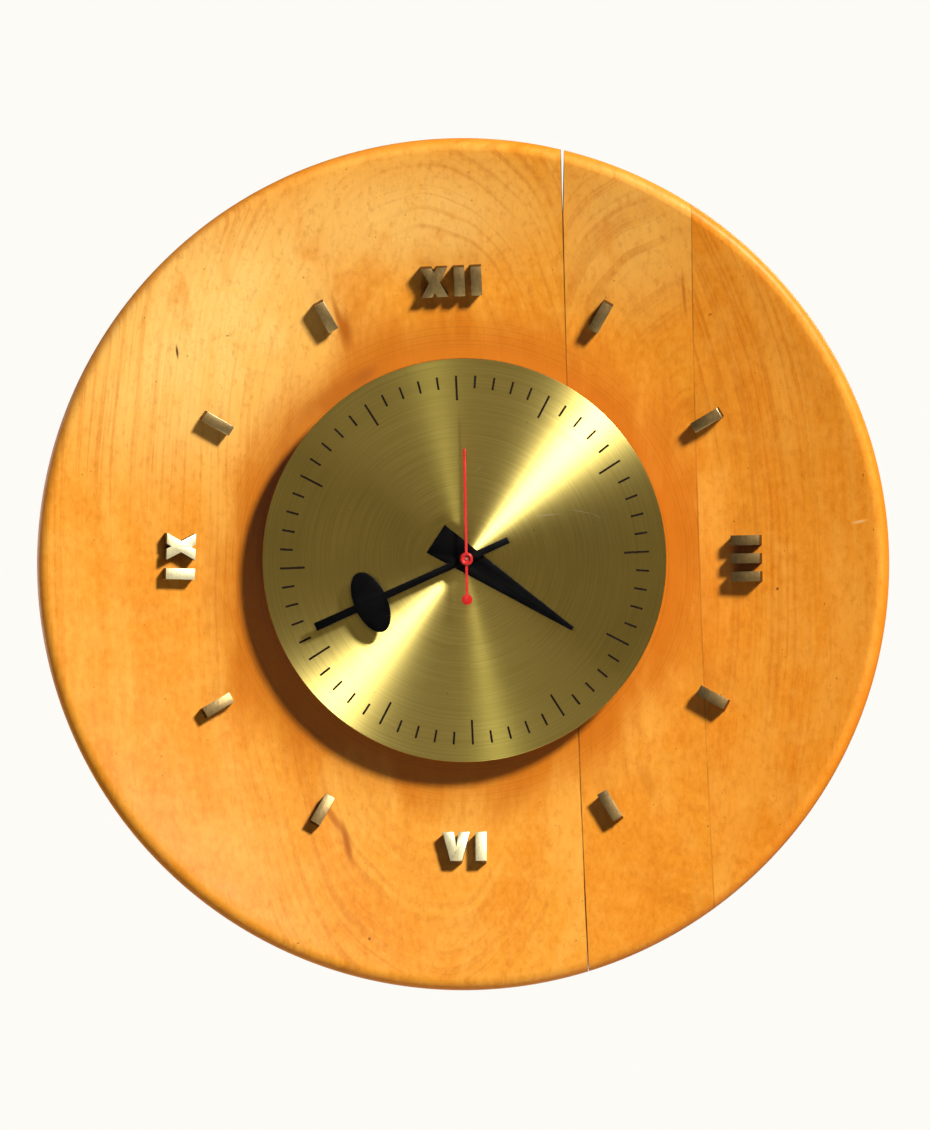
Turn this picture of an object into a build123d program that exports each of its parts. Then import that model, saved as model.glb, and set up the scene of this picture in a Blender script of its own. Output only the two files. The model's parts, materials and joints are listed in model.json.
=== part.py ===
from build123d import *
import math
import os

# Wall clock: a dished wooden bowl, a floating brass dial and a battery movement.
# Millimetres. The wall is the plane y = 0, the face looks along -Y and +Z is up.
# The origin is where the axis of the hands meets the wall. A height is a distance in front
# of the wall, so height h is y = -h. Hour angles are in degrees, clockwise from twelve.

# ---- wooden bowl ----
bowl_diameter = 420.0
bowl_shift_x = -1.7           # the bowl was bored by eye: its centre from the axis of the hands
bowl_shift_z = -2.5
floor_height = 26.0           # front face of the flat floor
floor_radius = 105.0
marker_ring_radius = 141.7    # where the hour markers stand, and where the slope eases
marker_ring_slope = 15.0
rim_slope = 24.0
rim_lip_radius = 5.0
back_flat_radius = 118.0
underside_rim_angle = 38.0
joint_1_x = 53.1              # planes where the three boards are glued
joint_2_x = 116.1
glued_half_height = 50.0      # joint 1 still holds this far above and below the centre
crack_hairline = 0.45
crack_mouth = 2.5
crack_knee_z = 170.0
web_thickness = 6.0           # wood left between the pocket and the floor
pocket_room = 5.4             # round the corners of the movement

# ---- dial ----
spacer_radius = 45.0
spacer_thickness = 12.0
dial_diameter = 200.0
dial_thickness = 1.2
dial_shift_x = -1.0            # the dial too was bored by eye: its centre from the axis
dial_shift_z = -0.5
dial_turn = -0.75             # the dial is clamped a little off square
mark_margin = 8.5             # from the dial's edge to its marks
mark_hour_length = 12.3
mark_minute_length = 6.3
mark_width = 1.05
mark_depth = 0.35
dial_edge_break = 0.15
spacer_edge_break = 1.0
post_clearance = 0.25         # wood and dial round the post
spacer_screw_circle = 32.0
spacer_screw_length = 16.0
spacer_screw_radius = 1.6
spacer_screw_head_radius = 3.4
cross_span_share = 1.25       # of a screw head's radius
cross_width_share = 0.25
cross_depth = 1.4

# ---- hour markers ----
marker_thickness = 7.0
bar_length = 15.5
bar_width = 5.4
letter_height = 14.5
letter_width = 13.3           # of an X or a V
stroke_width = 5.4
stroke_width_three = 4.9
numeral_three_pitch = 9.0
letter_gap = 3.0
letter_gap_nine = 4.2
v_foot_half_width = 2.9
v_notch = -0.5                # from the letter's middle
v_pin_offset = 3.0
# how far each marker was set from its exact hour, one to twelve
marker_drift = [1.0, 1.3, 0.7, 0.0, 0.6, 1.6, 1.7, 2.0, 3.5, 1.7, 2.9, -0.5]
pin_radius = 0.6
pin_in_wood = 4.0
pin_in_marker = 3.0

# ---- hands ----
hour_hand_angle = 125.2
minute_hand_angle = 247.6
second_hand_angle = 0.8
hour_hand_length = 62.7
hour_hand_tail = 18.2
hour_hand_tail_width = 16.5
hour_hand_tip_width = 2.0
minute_hand_length = 81.7
minute_hand_tail = 22.7
minute_hand_tip_width = 4.1
minute_hand_hub_width = 3.3
minute_oval_centre = 51.8
minute_oval_across = 31.6
minute_oval_along = 16.4
second_hand_length = 54.3
second_hand_tail = 20.0
second_hand_width = 1.3
second_tail_disc_radius = 2.6
second_hub_radius = 2.85
second_hub_wall = 1.1
second_hub_recess = 0.9
second_hub_flange = 0.4
second_hub_behind = 1.0       # how far the tube stands out behind and in front of its hand
second_hub_before = 1.2
nut_to_hour_hand = 1.0        # air in front of the nut, the hour hand and the minute hand
hour_to_minute_hand = 2.1
minute_to_second_hand = 2.6
collar_wall = 1.1             # of the hour hand, behind the blade
collar_length = 0.8
bushing_radius = 2.1
bushing_flange_radius = 3.2
bushing_flange = 1.2
bushing_before = 0.6
minute_hub_radius = 3.4
hand_thickness = 0.7
second_hand_thickness = 0.45

# ---- shafts: each turns in the one outside it ----
shaft_clearance = 0.1
pivot_clearance = 0.05
second_arbor_radius = 0.5
minute_tube_radius = 1.25
hour_pipe_radius = 2.5
post_radius = 4.0
flange_width = 2.5            # of the post, the washer and the nut, outside the post
washer_width = 2.2
nut_width = 1.6
washer_thickness = 0.6
nut_thickness = 2.2
nut_notch = 1.6
gasket_radius = 15.0
thread_end_gap = 0.3          # post end, behind the front of the nut
pipe_before = 0.4             # how far each shaft stands out in front of its hand
tube_before = 0.9
pivot_radius = 0.4
knob_arbor_radius = 0.6

# ---- movement case ----
gasket_thickness = 0.8
case_depth = 15.0
case_wall = 1.2
case_corner = 2.0
contact_room = 1.55           # at each end of the battery
bay_width = 15.0
post_peg_radius = 0.7
case_post_radius = 1.6
peg_stand = 0.3               # peg ends, past the plate they hold
cover_gap = 0.1
cover_boss_radius = 2.1
cover_screw_inset = 3.8
cover_screw_low_z = 0.5
cover_screw_depth = 6.0
cover_screw_head = 1.0
middle_plate_low = (-15.2, -9.6)
middle_plate_high = (21.6, 18.8)
middle_plate_corner = 1.5
plate_post_inset = 2.0

# ---- gear train: teeth and distances between centres ----
rotor_teeth = 12
intermediate_teeth = 60
intermediate_pinion_teeth = 10
seconds_teeth = 60
seconds_pinion_teeth = 8
third_teeth = 64
third_pinion_teeth = 8
centre_teeth = 60
cannon_teeth = 14
minute_wheel_teeth = 42
minute_pinion_teeth = 12
hour_wheel_teeth = 48
rotor_distance = 10.8
intermediate_distance = 10.5
third_distance = 10.8
minute_wheel_distance = 11.2
third_direction = 20.0        # counterclockwise from +X, seen from the front
intermediate_direction = 150.0
minute_wheel_direction = 90.0
rotor_direction = 90.0        # from the intermediate wheel to the rotor
wheel_thickness = 0.8
pinion_length = 1.4
wheel_hub_radius = 2.2
collar_hub_radius = 3.4       # of the wheels that carry a tube
rim_width_share = 2.2         # of the module, from the pitch circle
rim_width_extra = 0.4
least_hole_radius = 0.8
hole_share = 0.85             # of the room between hub and rim
circuit_gap = 0.5             # heights left free, from the cover forwards
intermediate_gap = 0.6
seconds_gap = 0.9
third_gap = 1.0
plate_gap = 0.4
plate_thickness = 0.7
centre_gap = 0.5
minute_wheel_gap = 0.8
pivot_end_gap = 0.1
pivot_inset = 0.3             # from the outside of the cover
pivot_bearing_depth = 0.9
pivot_in_bearing = 0.7
tooth_share = 0.40            # of the pitch, at the pitch circle
tip_share = 0.15
tooth_height_out = 0.75       # of the module
tooth_height_in = 1.1
running_gap = 0.3             # between bodies that turn past each other

# ---- motor and electrics ----
magnet_radius = 3.0
magnet_length = 2.8
magnet_offset = 0.2           # behind the seconds wheel's back
stator_gap = 0.5
stator_thickness = 1.0
stator_offset = 0.6
stator_rim = 1.7
stator_arm = 3.3
stator_top = 24.2
stator_post_z = 22.5
stator_left_x = -12.2
stator_right_x = 18.2
stator_left_width = 4.0
core_width = 3.2
core_thickness = 1.0
core_overhang = 2.0
bobbin_radius = 3.0
bobbin_length = 17.0
bobbin_start = -3.0
bobbin_tube_radius = 2.2
bobbin_flange = 0.8
winding_below_flange = 0.3
board_thickness = 1.0
board_width = 6.6
board_gap = 0.4
board_end_gap = 0.6
chip_x = -18.0
chip_radius = 2.4
chip_height = 0.9
chip_slope = 35.0
crystal_x = 12.0
crystal_radius = 1.5
crystal_length = 8.0
battery_radius = 7.1
battery_length = 49.2
battery_nub_radius = 2.75
battery_nub_length = 1.3
battery_clearance = 0.2
battery_edge_break = 0.5
contact_thickness = 0.4
contact_height = 8.0
contact_slot_room = 0.5
contact_below = 4.7           # ends of a contact leaf, from the battery's axis
contact_above = 5.3
contact_on_board = 1.2
cover_screw_head_radius = 1.9
cover_screw_radius = 0.8
knob_radius = 5.5
knob_thickness = 2.3
knob_gap = 0.5                # to the case
knob_socket = 1.5
knob_flutes = 18
flute_radius = 0.6
flute_offset = 0.25

# ---- hanger ----
hanger_length = 48.0
hanger_width = 18.0
hanger_thickness = 1.6
hanger_clearance = 0.2
hanger_z = 84.0
hanger_screw_head_radius = 2.6
hanger_screw_radius = 1.1
hanger_screw_length = 12.0
hanger_screw_inset = 5.0
hanger_screw_sunk = 0.1       # head below the plate's face
keyhole_z = 78.0
keyhole_radius = 4.5
keyhole_slot_width = 4.4
keyhole_slot_rise = 10.0
keyhole_cavity_depth = 8.0
keyhole_cavity_room = 1.5     # round the head of the wall screw
past = 1.0                    # how far a cutting shape runs past the face it cuts

# ---- heights worked out from the sizes above ----
bowl_radius = bowl_diameter / 2
mark_outer_radius = dial_diameter / 2 - mark_margin
dial_place = Pos(dial_shift_x, dial_shift_z)
case_size = battery_length + battery_nub_length + 2 * (contact_room + case_wall)
case_inner = case_size / 2 - case_wall
pocket_radius = case_size / 2 * math.sqrt(2) + pocket_room
post_flange_radius = post_radius + flange_width
washer_radius = post_radius + washer_width
nut_radius = post_radius + nut_width
bay_top = -case_inner + bay_width
bay_middle = -case_inner + bay_width / 2
bay_wall_top = bay_top + case_wall
battery_reach = (battery_length + battery_nub_length) / 2
pocket_depth = floor_height - web_thickness
spacer_front = floor_height + spacer_thickness
dial_front = spacer_front + dial_thickness
hour_hand_height = dial_front + washer_thickness + nut_thickness + nut_to_hour_hand
minute_hand_height = hour_hand_height + hand_thickness + hour_to_minute_hand
second_hand_height = minute_hand_height + hand_thickness + minute_to_second_hand
case_front = pocket_depth - gasket_thickness
case_back = case_front - case_depth
front_wall_inside = case_front - case_wall
cover_front = case_back + case_wall
circuit_back = cover_front + circuit_gap
circuit_front = circuit_back + board_thickness
pivot_back = case_back + pivot_inset
intermediate_back = circuit_front + intermediate_gap
seconds_back = intermediate_back + wheel_thickness + seconds_gap
third_back = seconds_back + wheel_thickness + third_gap
plate_back = third_back + wheel_thickness + plate_gap
plate_front = plate_back + plate_thickness
centre_back = plate_front + centre_gap
minute_wheel_back = centre_back + wheel_thickness + minute_wheel_gap
hour_wheel_front = front_wall_inside - running_gap
hour_wheel_back = hour_wheel_front - wheel_thickness
pivot_front = plate_front - pivot_end_gap
long_pivot_front = front_wall_inside + pivot_in_bearing
knob_front = case_back - knob_gap
stator_back = seconds_back + stator_offset
core_back = stator_back + stator_thickness
core_front = core_back + core_thickness
bobbin_height = core_back + core_thickness / 2

os.makedirs("parts", exist_ok=True)


def facing(height, x=0.0, z=0.0):
    """Plane parallel to the wall at a height, seen from the front, with +x right and +y up."""
    return Plane(origin=(x, -height, z), x_dir=(1, 0, 0), z_dir=(0, -1, 0))


def slab(sketch, back, thickness, x=0.0, z=0.0):
    """A flat sketch thickened towards the front from the height of its back face."""
    return extrude(facing(back, x, z) * sketch, thickness)


def disc(radius, back, thickness, x=0.0, z=0.0):
    return slab(Circle(radius), back, thickness, x, z)


def hole(radius, back, thickness, x=0.0, z=0.0):
    """Cutter for a round hole that runs past both faces of what it goes through."""
    return disc(radius, back - past, thickness + 2 * past, x, z)


def cross_recess(head_radius):
    span = head_radius * cross_span_share
    width = head_radius * cross_width_share
    return Rectangle(span, width) + Rectangle(width, span)


def ring(radius, bore, back, thickness, x=0.0, z=0.0):
    return slab(Circle(radius) - Circle(bore), back, thickness, x, z)


def block(x_low, x_high, z_low, z_high, back, front):
    size_x = x_high - x_low
    size_z = z_high - z_low
    middle = Pos((x_low + x_high) / 2, (z_low + z_high) / 2)
    return slab(middle * Rectangle(size_x, size_z), back, front - back)


def outline_of(*points):
    """Flat outline through points, facing the front whichever way round they are given."""
    area = 0.0
    for (x, z), (next_x, next_z) in zip(points, points[1:] + points[:1]):
        area += x * next_z - next_x * z
    ordered = points if area > 0 else points[::-1]
    return Polygon(*ordered, align=None)


def clockwise(angle):
    return Rot(0, 0, -angle)


def polar(distance, direction, start=(0.0, 0.0)):
    turn = math.radians(direction)
    return (start[0] + distance * math.cos(turn), start[1] + distance * math.sin(turn))


def write(name, shape):
    export_step(shape, f"parts/{name}.step")


def write_group(name, solids):
    export_step(Compound(children=list(solids)), f"parts/{name}.step")


# ---- wooden bowl ----
def slope_arc(start, start_slope, end_slope, end_radius):
    """Arc of a surface whose slope grows from one angle to another by a given radius."""
    low = math.radians(start_slope)
    high = math.radians(end_slope)
    bend = (end_radius - start[0]) / (math.sin(high) - math.sin(low))
    middle_angle = (low + high) / 2

    def at(angle):
        across = start[0] + bend * (math.sin(angle) - math.sin(low))
        rise = start[1] - bend * (math.cos(low) - math.cos(angle))
        return (across, rise)

    return ThreePointArc(start, at(middle_angle), at(high)), at(high)


def bowl_section():
    """Half section of the bowl: local x is the radius and local y is -height."""
    slope = math.radians(rim_slope)
    front_end = bowl_radius - rim_lip_radius * (1 + math.sin(slope))
    floor_line = Line((0, -floor_height), (floor_radius, -floor_height))
    lower, knee = slope_arc((floor_radius, -floor_height), 0, marker_ring_slope, marker_ring_radius)
    upper, edge = slope_arc(knee, marker_ring_slope, rim_slope, front_end)
    lip_x = bowl_radius - rim_lip_radius
    lip_y = edge[1] + rim_lip_radius * math.cos(slope)
    under = math.radians(underside_rim_angle)
    lip_end = (lip_x + rim_lip_radius * math.sin(under), lip_y + rim_lip_radius * math.cos(under))
    lip = ThreePointArc(edge, (lip_x + rim_lip_radius, lip_y), lip_end)
    underside = TangentArc(lip_end, (back_flat_radius, 0), tangent=(-math.cos(under), math.sin(under)))
    back = Line((back_flat_radius, 0), (0, 0))
    centre = Line((0, 0), (0, -floor_height))
    return make_face(floor_line + lower + upper + lip + underside + back + centre)


def turned_bowl():
    section = Plane(origin=(bowl_shift_x, 0, bowl_shift_z), x_dir=(1, 0, 0), z_dir=(0, 0, 1)) * bowl_section()
    return revolve(section, axis=Axis((bowl_shift_x, 0, bowl_shift_z), (0, 1, 0)))


def marker_ring_height():
    slope = math.radians(marker_ring_slope)
    bend = (marker_ring_radius - floor_radius) / math.sin(slope)
    return floor_height + bend * (1 - math.cos(slope))


def crack():
    """Sliver missing from the middle board: a wedge open at the top, a hairline below."""
    low = joint_1_x
    reach = bowl_radius + past
    upper = outline_of(
        (low, glued_half_height), (low + crack_hairline, crack_knee_z), (low + crack_mouth, reach), (low, reach))
    lower = outline_of((low, -glued_half_height), (low, -reach), (low + crack_hairline, -reach))
    depth = floor_height + bowl_radius
    return slab(upper, -past, depth) + slab(lower, -past, depth)


def keyhole_cavity():
    half = keyhole_radius + keyhole_cavity_room
    low = keyhole_z - half
    high = keyhole_z + keyhole_slot_rise + keyhole_radius
    return block(-half, half, low, high, 0, hanger_thickness + keyhole_cavity_depth)


def hanger_outline(growth):
    return SlotOverall(hanger_length + 2 * growth, hanger_width + 2 * growth, rotation=90)


def bored_bowl():
    bowl = turned_bowl()
    bowl -= disc(pocket_radius, -past, pocket_depth + past)
    bowl -= hole(post_radius + post_clearance, 0, floor_height)
    bowl -= slab(hanger_outline(hanger_clearance), -past, hanger_thickness + past, 0, hanger_z)
    bowl -= keyhole_cavity()
    for z in hanger_screw_places():
        bowl -= hanger_screw(z)
    for angle in spacer_screw_angles():
        bowl -= spacer_screw(angle)
    for place, spot in marker_pin_places():
        bowl -= marker_pin(place, spot)
    return bowl


def boards():
    bowl = bored_bowl()
    reach = bowl_diameter
    wide = bowl & block(-reach, joint_1_x, -reach, reach, -past, reach)
    middle = (bowl & block(joint_1_x, joint_2_x, -reach, reach, -past, reach)) - crack()
    outer = bowl & block(joint_2_x, reach, -reach, reach, -past, reach)
    write("board_wide", wide)
    write("board_middle", middle)
    write("board_outer", outer)


# ---- hanger ----
def hanger_screw_places():
    reach = hanger_length / 2 - hanger_screw_inset
    return [hanger_z - reach, hanger_z + reach]


def hanger_screw(z):
    shank = disc(hanger_screw_radius, hanger_thickness / 2, hanger_screw_length, 0, z)
    head = facing(hanger_screw_sunk, 0, z) * Circle(hanger_screw_head_radius)
    return extrude(head, hanger_thickness - hanger_screw_sunk, taper=45) + shank


def hanger():
    plate = slab(hanger_outline(0), 0, hanger_thickness, 0, hanger_z)
    plate -= hole(keyhole_radius, 0, hanger_thickness, 0, keyhole_z)
    slot = Pos(0, keyhole_slot_rise / 2) * Rectangle(keyhole_slot_width, keyhole_slot_rise)
    slot += Pos(0, keyhole_slot_rise) * Circle(keyhole_slot_width / 2)
    plate -= slab(slot, -past, hanger_thickness + 2 * past, 0, keyhole_z)
    screws = []
    for z in hanger_screw_places():
        screw = hanger_screw(z)
        plate -= screw
        recess = slab(cross_recess(hanger_screw_head_radius), hanger_screw_sunk - past, cross_depth / 2 + past, 0, z)
        screws.append(screw - recess)
    write("hanger_plate", plate)
    write_group("hanger_screws", screws)


# ---- dial ----
def spacer_screw_angles():
    return [30, 150, 270]


def spacer_screw(angle):
    x, z = polar(spacer_screw_circle, angle)
    drop = spacer_screw_head_radius - spacer_screw_radius
    shank = disc(spacer_screw_radius, spacer_front - spacer_screw_length, spacer_screw_length, x, z)
    cone = loft([
        facing(spacer_front - drop, x, z) * Circle(spacer_screw_radius),
        facing(spacer_front, x, z) * Circle(spacer_screw_head_radius)])
    return cone + shank


def spacer():
    body = disc(spacer_radius, floor_height, spacer_thickness)
    body = chamfer(body.edges().filter_by(GeomType.CIRCLE).sort_by(Axis.Y)[0], spacer_edge_break)
    body -= hole(post_radius + post_clearance, floor_height, spacer_thickness)
    screws = []
    for angle in spacer_screw_angles():
        screw = spacer_screw(angle)
        x, z = polar(spacer_screw_circle, angle)
        body -= screw
        recess = slab(cross_recess(spacer_screw_head_radius), spacer_front - cross_depth, cross_depth + past, x, z)
        screws.append(screw - recess)
    write("dial_spacer", body)
    write_group("spacer_screws", screws)


def minute_marks():
    """The black filling of the sixty engraved marks."""
    marks = []
    for minute in range(60):
        length = mark_hour_length if minute % 5 == 0 else mark_minute_length
        bar = Pos(0, mark_outer_radius - length / 2) * Rectangle(mark_width, length)
        turned = dial_place * clockwise(dial_turn + minute * 6) * bar
        marks.append(slab(turned, dial_front - mark_depth, mark_depth))
    return marks


def dial():
    plate = disc(dial_diameter / 2, spacer_front, dial_thickness, dial_shift_x, dial_shift_z)
    plate = chamfer(plate.edges().filter_by(GeomType.CIRCLE), dial_edge_break)
    plate -= hole(post_radius + post_clearance / 2, spacer_front, dial_thickness)
    marks = minute_marks()
    plate -= marks
    write("dial_plate", plate)
    write_group("minute_marks", marks)


# ---- hour markers ----
def marker_plane(hour):
    """Plane on the bowl at an hour: local y points outwards, local x clockwise."""
    angle = math.radians(hour * 30 + marker_drift[hour - 1])
    slope = math.radians(marker_ring_slope)
    away_x = math.sin(angle)
    away_z = math.cos(angle)
    origin = (
        bowl_shift_x + marker_ring_radius * away_x,
        -marker_ring_height(),
        bowl_shift_z + marker_ring_radius * away_z)
    normal = (-math.sin(slope) * away_x, -math.cos(slope), -math.sin(slope) * away_z)
    return Plane(origin=origin, x_dir=(away_z, 0, -away_x), z_dir=normal)


def letter_i(width=stroke_width):
    return Rectangle(width, letter_height)


def letter_x():
    half_w = letter_width / 2
    half_h = letter_height / 2
    arm = stroke_width
    stroke = outline_of(
        (-half_w, -half_h), (-half_w + arm, -half_h), (half_w, half_h), (half_w - arm, half_h))
    other = outline_of(
        (half_w, -half_h), (half_w - arm, -half_h), (-half_w, half_h), (-half_w + arm, half_h))
    return stroke + other


def letter_v():
    half_w = letter_width / 2
    half_h = letter_height / 2
    return outline_of(
        (-half_w, half_h), (-half_w + stroke_width, half_h), (0, v_notch), (half_w - stroke_width, half_h),
        (half_w, half_h), (v_foot_half_width, -half_h), (-v_foot_half_width, -half_h))


def letter_row(widths, gap):
    """Centres of letters set side by side about zero."""
    total = sum(widths) + gap * (len(widths) - 1)
    places = []
    edge = -total / 2
    for width in widths:
        places.append(edge + width / 2)
        edge += width + gap
    return places


def marker_outlines():
    """Each block's name, hour, outline and its pin's place, in the plane of its hour."""
    blocks = []
    for hour in (1, 2, 4, 5, 7, 8, 10, 11):
        blocks.append((f"hour_bar_{hour:02d}", hour, Rectangle(bar_width, bar_length), (0, 0)))
    twelve = letter_row([letter_width, stroke_width, stroke_width], letter_gap)
    blocks.append(("numeral_12_x", 12, Pos(twelve[0], 0) * letter_x(), (twelve[0], 0)))
    blocks.append(("numeral_12_i_left", 12, Pos(twelve[1], 0) * letter_i(), (twelve[1], 0)))
    blocks.append(("numeral_12_i_right", 12, Pos(twelve[2], 0) * letter_i(), (twelve[2], 0)))
    for place, part in ((-1, "upper"), (0, "middle"), (1, "lower")):
        x = place * numeral_three_pitch
        blocks.append((f"numeral_03_i_{part}", 3, Pos(x, 0) * letter_i(stroke_width_three), (x, 0)))
    # six reads upright, so it is turned over in its plane, where y points down the wall
    six = letter_row([letter_width, stroke_width], letter_gap)
    blocks.append(("numeral_06_v", 6, Pos(-six[0], 0) * Rot(0, 0, 180) * letter_v(), (-six[0], v_pin_offset)))
    blocks.append(("numeral_06_i", 6, Pos(-six[1], 0) * letter_i(), (-six[1], 0)))
    nine = letter_row([stroke_width, letter_width], letter_gap_nine)
    blocks.append(("numeral_09_i", 9, Pos(nine[0], 0) * letter_i(), (nine[0], 0)))
    blocks.append(("numeral_09_x", 9, Pos(nine[1], 0) * letter_x(), (nine[1], 0)))
    return blocks


def marker_pin_places():
    return [(marker_plane(hour), spot) for name, hour, outline, spot in marker_outlines()]


def marker_pin(place, spot):
    return extrude(place.offset(-pin_in_wood) * Pos(*spot) * Circle(pin_radius), pin_in_wood + pin_in_marker)


def markers():
    bowl = turned_bowl()
    pins = []
    for name, hour, outline, spot in marker_outlines():
        place = marker_plane(hour)
        # the block starts inside the wood, which then trims its foot to the curve
        body = extrude(place.offset(-pin_in_wood) * outline, pin_in_wood + marker_thickness)
        body -= bowl
        pin = marker_pin(place, spot)
        body -= pin
        pins.append(pin)
        write(name, body)
    write_group("marker_pins", pins)


# ---- hands ----
def hour_hand():
    tip = hour_hand_tip_width / 2
    tail = hour_hand_tail_width / 2
    blade = outline_of(
        (-tail, -hour_hand_tail), (tail, -hour_hand_tail), (tip, hour_hand_length), (-tip, hour_hand_length))
    hand = slab(clockwise(hour_hand_angle) * blade, hour_hand_height, hand_thickness)
    hand += disc(hour_pipe_radius + collar_wall, hour_hand_height - collar_length, collar_length)
    hand -= hole(hour_pipe_radius, hour_hand_height - collar_length, collar_length + hand_thickness)
    write("hour_hand", hand)


def minute_hand():
    tip = minute_hand_tip_width / 2
    hub = minute_hand_hub_width / 2
    bar = outline_of(
        (-hub, -minute_hand_tail), (hub, -minute_hand_tail), (hub, 0), (tip, minute_hand_length),
        (-tip, minute_hand_length), (-hub, 0))
    oval = Pos(0, minute_oval_centre) * Ellipse(minute_oval_across / 2, minute_oval_along / 2)
    outline = bar + oval + Circle(minute_hub_radius)
    hand = slab(clockwise(minute_hand_angle) * outline, minute_hand_height, hand_thickness)
    hand -= hole(bushing_radius, minute_hand_height, hand_thickness)
    write("minute_hand", hand)
    back = minute_hand_height - bushing_flange
    length = bushing_flange + hand_thickness + bushing_before
    bushing = ring(bushing_radius, minute_tube_radius, back, length)
    bushing += ring(bushing_flange_radius, minute_tube_radius, back, bushing_flange)
    write("minute_hand_bushing", bushing)


def second_hand():
    stem = Pos(0, (second_hand_length - second_hand_tail) / 2) * Rectangle(
        second_hand_width, second_hand_length + second_hand_tail)
    outline = stem + Circle(second_hub_radius + second_hub_flange)
    outline += Pos(0, -second_hand_tail) * Circle(second_tail_disc_radius)
    hand = slab(clockwise(second_hand_angle) * outline, second_hand_height, second_hand_thickness)
    hand -= hole(second_hub_radius, second_hand_height, second_hand_thickness)
    write("second_hand", hand)
    low = second_hand_height - second_hub_behind
    step = second_hand_height + second_hand_thickness + second_hub_before - second_hub_recess
    hub = ring(second_hub_radius, second_arbor_radius, low, step - low)
    hub += ring(second_hub_radius, second_hub_radius - second_hub_wall, step, second_hub_recess)
    write("second_hand_hub", hub)


# ---- gears ----
def gear(teeth, module, phase):
    """Toothed outline with straight flanks. A tooth is centred on the phase angle."""
    pitch = 360 / teeth
    pitch_radius = teeth * module / 2
    inner = pitch_radius - tooth_height_in * module
    outer = pitch_radius + tooth_height_out * module
    half_root = pitch * (0.5 - (1 - tooth_share) * 0.42)
    half_tip = pitch * tip_share
    points = []
    for tooth in range(teeth):
        middle = phase + tooth * pitch
        points.append(polar(inner, middle - half_root))
        points.append(polar(outer, middle - half_tip))
        points.append(polar(outer, middle + half_tip))
        points.append(polar(inner, middle + half_root))
    return outline_of(*points)


def mesh_phase(phase, teeth, other_teeth, direction):
    """Phase of a gear that lies in a direction from a first one, so that their teeth mesh."""
    share = ((direction - phase) / (360 / teeth)) % 1
    return direction + 180 + (share - 0.5) * 360 / other_teeth


def module_for(distance, teeth, other_teeth):
    return 2 * distance / (teeth + other_teeth)


third_place = polar(third_distance, third_direction)
intermediate_place = polar(intermediate_distance, intermediate_direction)
rotor_place = polar(rotor_distance, rotor_direction, intermediate_place)
minute_wheel_place = polar(minute_wheel_distance, minute_wheel_direction)
rotor_module = module_for(rotor_distance, rotor_teeth, intermediate_teeth)
intermediate_module = module_for(intermediate_distance, intermediate_pinion_teeth, seconds_teeth)
third_module = module_for(third_distance, seconds_pinion_teeth, third_teeth)
centre_module = module_for(third_distance, third_pinion_teeth, centre_teeth)
cannon_module = module_for(minute_wheel_distance, cannon_teeth, minute_wheel_teeth)
hour_module = module_for(minute_wheel_distance, minute_pinion_teeth, hour_wheel_teeth)


def wheel(teeth, module, phase, hub_radius=wheel_hub_radius, spokes=4):
    """Wheel outline with round lightening holes between its hub and its rim."""
    outline = gear(teeth, module, phase)
    rim = teeth * module / 2 - rim_width_share * module - rim_width_extra
    room = (rim - hub_radius) / 2
    if room > least_hole_radius:
        for spoke in range(spokes):
            x, z = polar(hub_radius + room, phase + (spoke + 0.5) * 360 / spokes)
            outline -= Pos(x, z) * Circle(room * hole_share)
    return outline


def seconds_train():
    arbor_front = second_hand_height + second_hub_before
    write("seconds_arbor", disc(second_arbor_radius, pivot_back, arbor_front - pivot_back))
    body = slab(wheel(seconds_teeth, intermediate_module, 0), seconds_back, wheel_thickness)
    pinion_back = seconds_back + wheel_thickness
    pinion_front = plate_back - running_gap
    body += slab(gear(seconds_pinion_teeth, third_module, 0), pinion_back, pinion_front - pinion_back)
    body -= hole(second_arbor_radius, seconds_back, pinion_front - seconds_back)
    write("seconds_wheel", body)


def intermediate_train():
    x, z = intermediate_place
    phase = mesh_phase(0, seconds_teeth, intermediate_pinion_teeth, intermediate_direction)
    body = slab(wheel(intermediate_teeth, rotor_module, 0), intermediate_back, wheel_thickness, x, z)
    pinion = gear(intermediate_pinion_teeth, intermediate_module, phase)
    body += slab(pinion, intermediate_back + wheel_thickness, wheel_thickness + pinion_length, x, z)
    body += disc(pivot_radius, pivot_back, pivot_front - pivot_back, x, z)
    write("intermediate_wheel", body)


def rotor():
    x, z = rotor_place
    phase = mesh_phase(0, intermediate_teeth, rotor_teeth, rotor_direction)
    low = intermediate_back - running_gap
    magnet_back = seconds_back - magnet_offset
    body = slab(gear(rotor_teeth, rotor_module, phase), low, magnet_back - low, x, z)
    body += disc(pivot_radius, pivot_back, pivot_front - pivot_back, x, z)
    write("rotor_pinion", body)
    write("rotor_magnet", ring(magnet_radius, pivot_radius, magnet_back, magnet_length, x, z))


def third_train():
    x, z = third_place
    phase = mesh_phase(0, seconds_pinion_teeth, third_teeth, third_direction)
    body = slab(wheel(third_teeth, third_module, phase), third_back, wheel_thickness, x, z)
    body += slab(gear(third_pinion_teeth, centre_module, 0), plate_front + running_gap, pinion_length, x, z)
    body += disc(pivot_radius, pivot_back, long_pivot_front - pivot_back, x, z)
    write("third_wheel", body)


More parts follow.
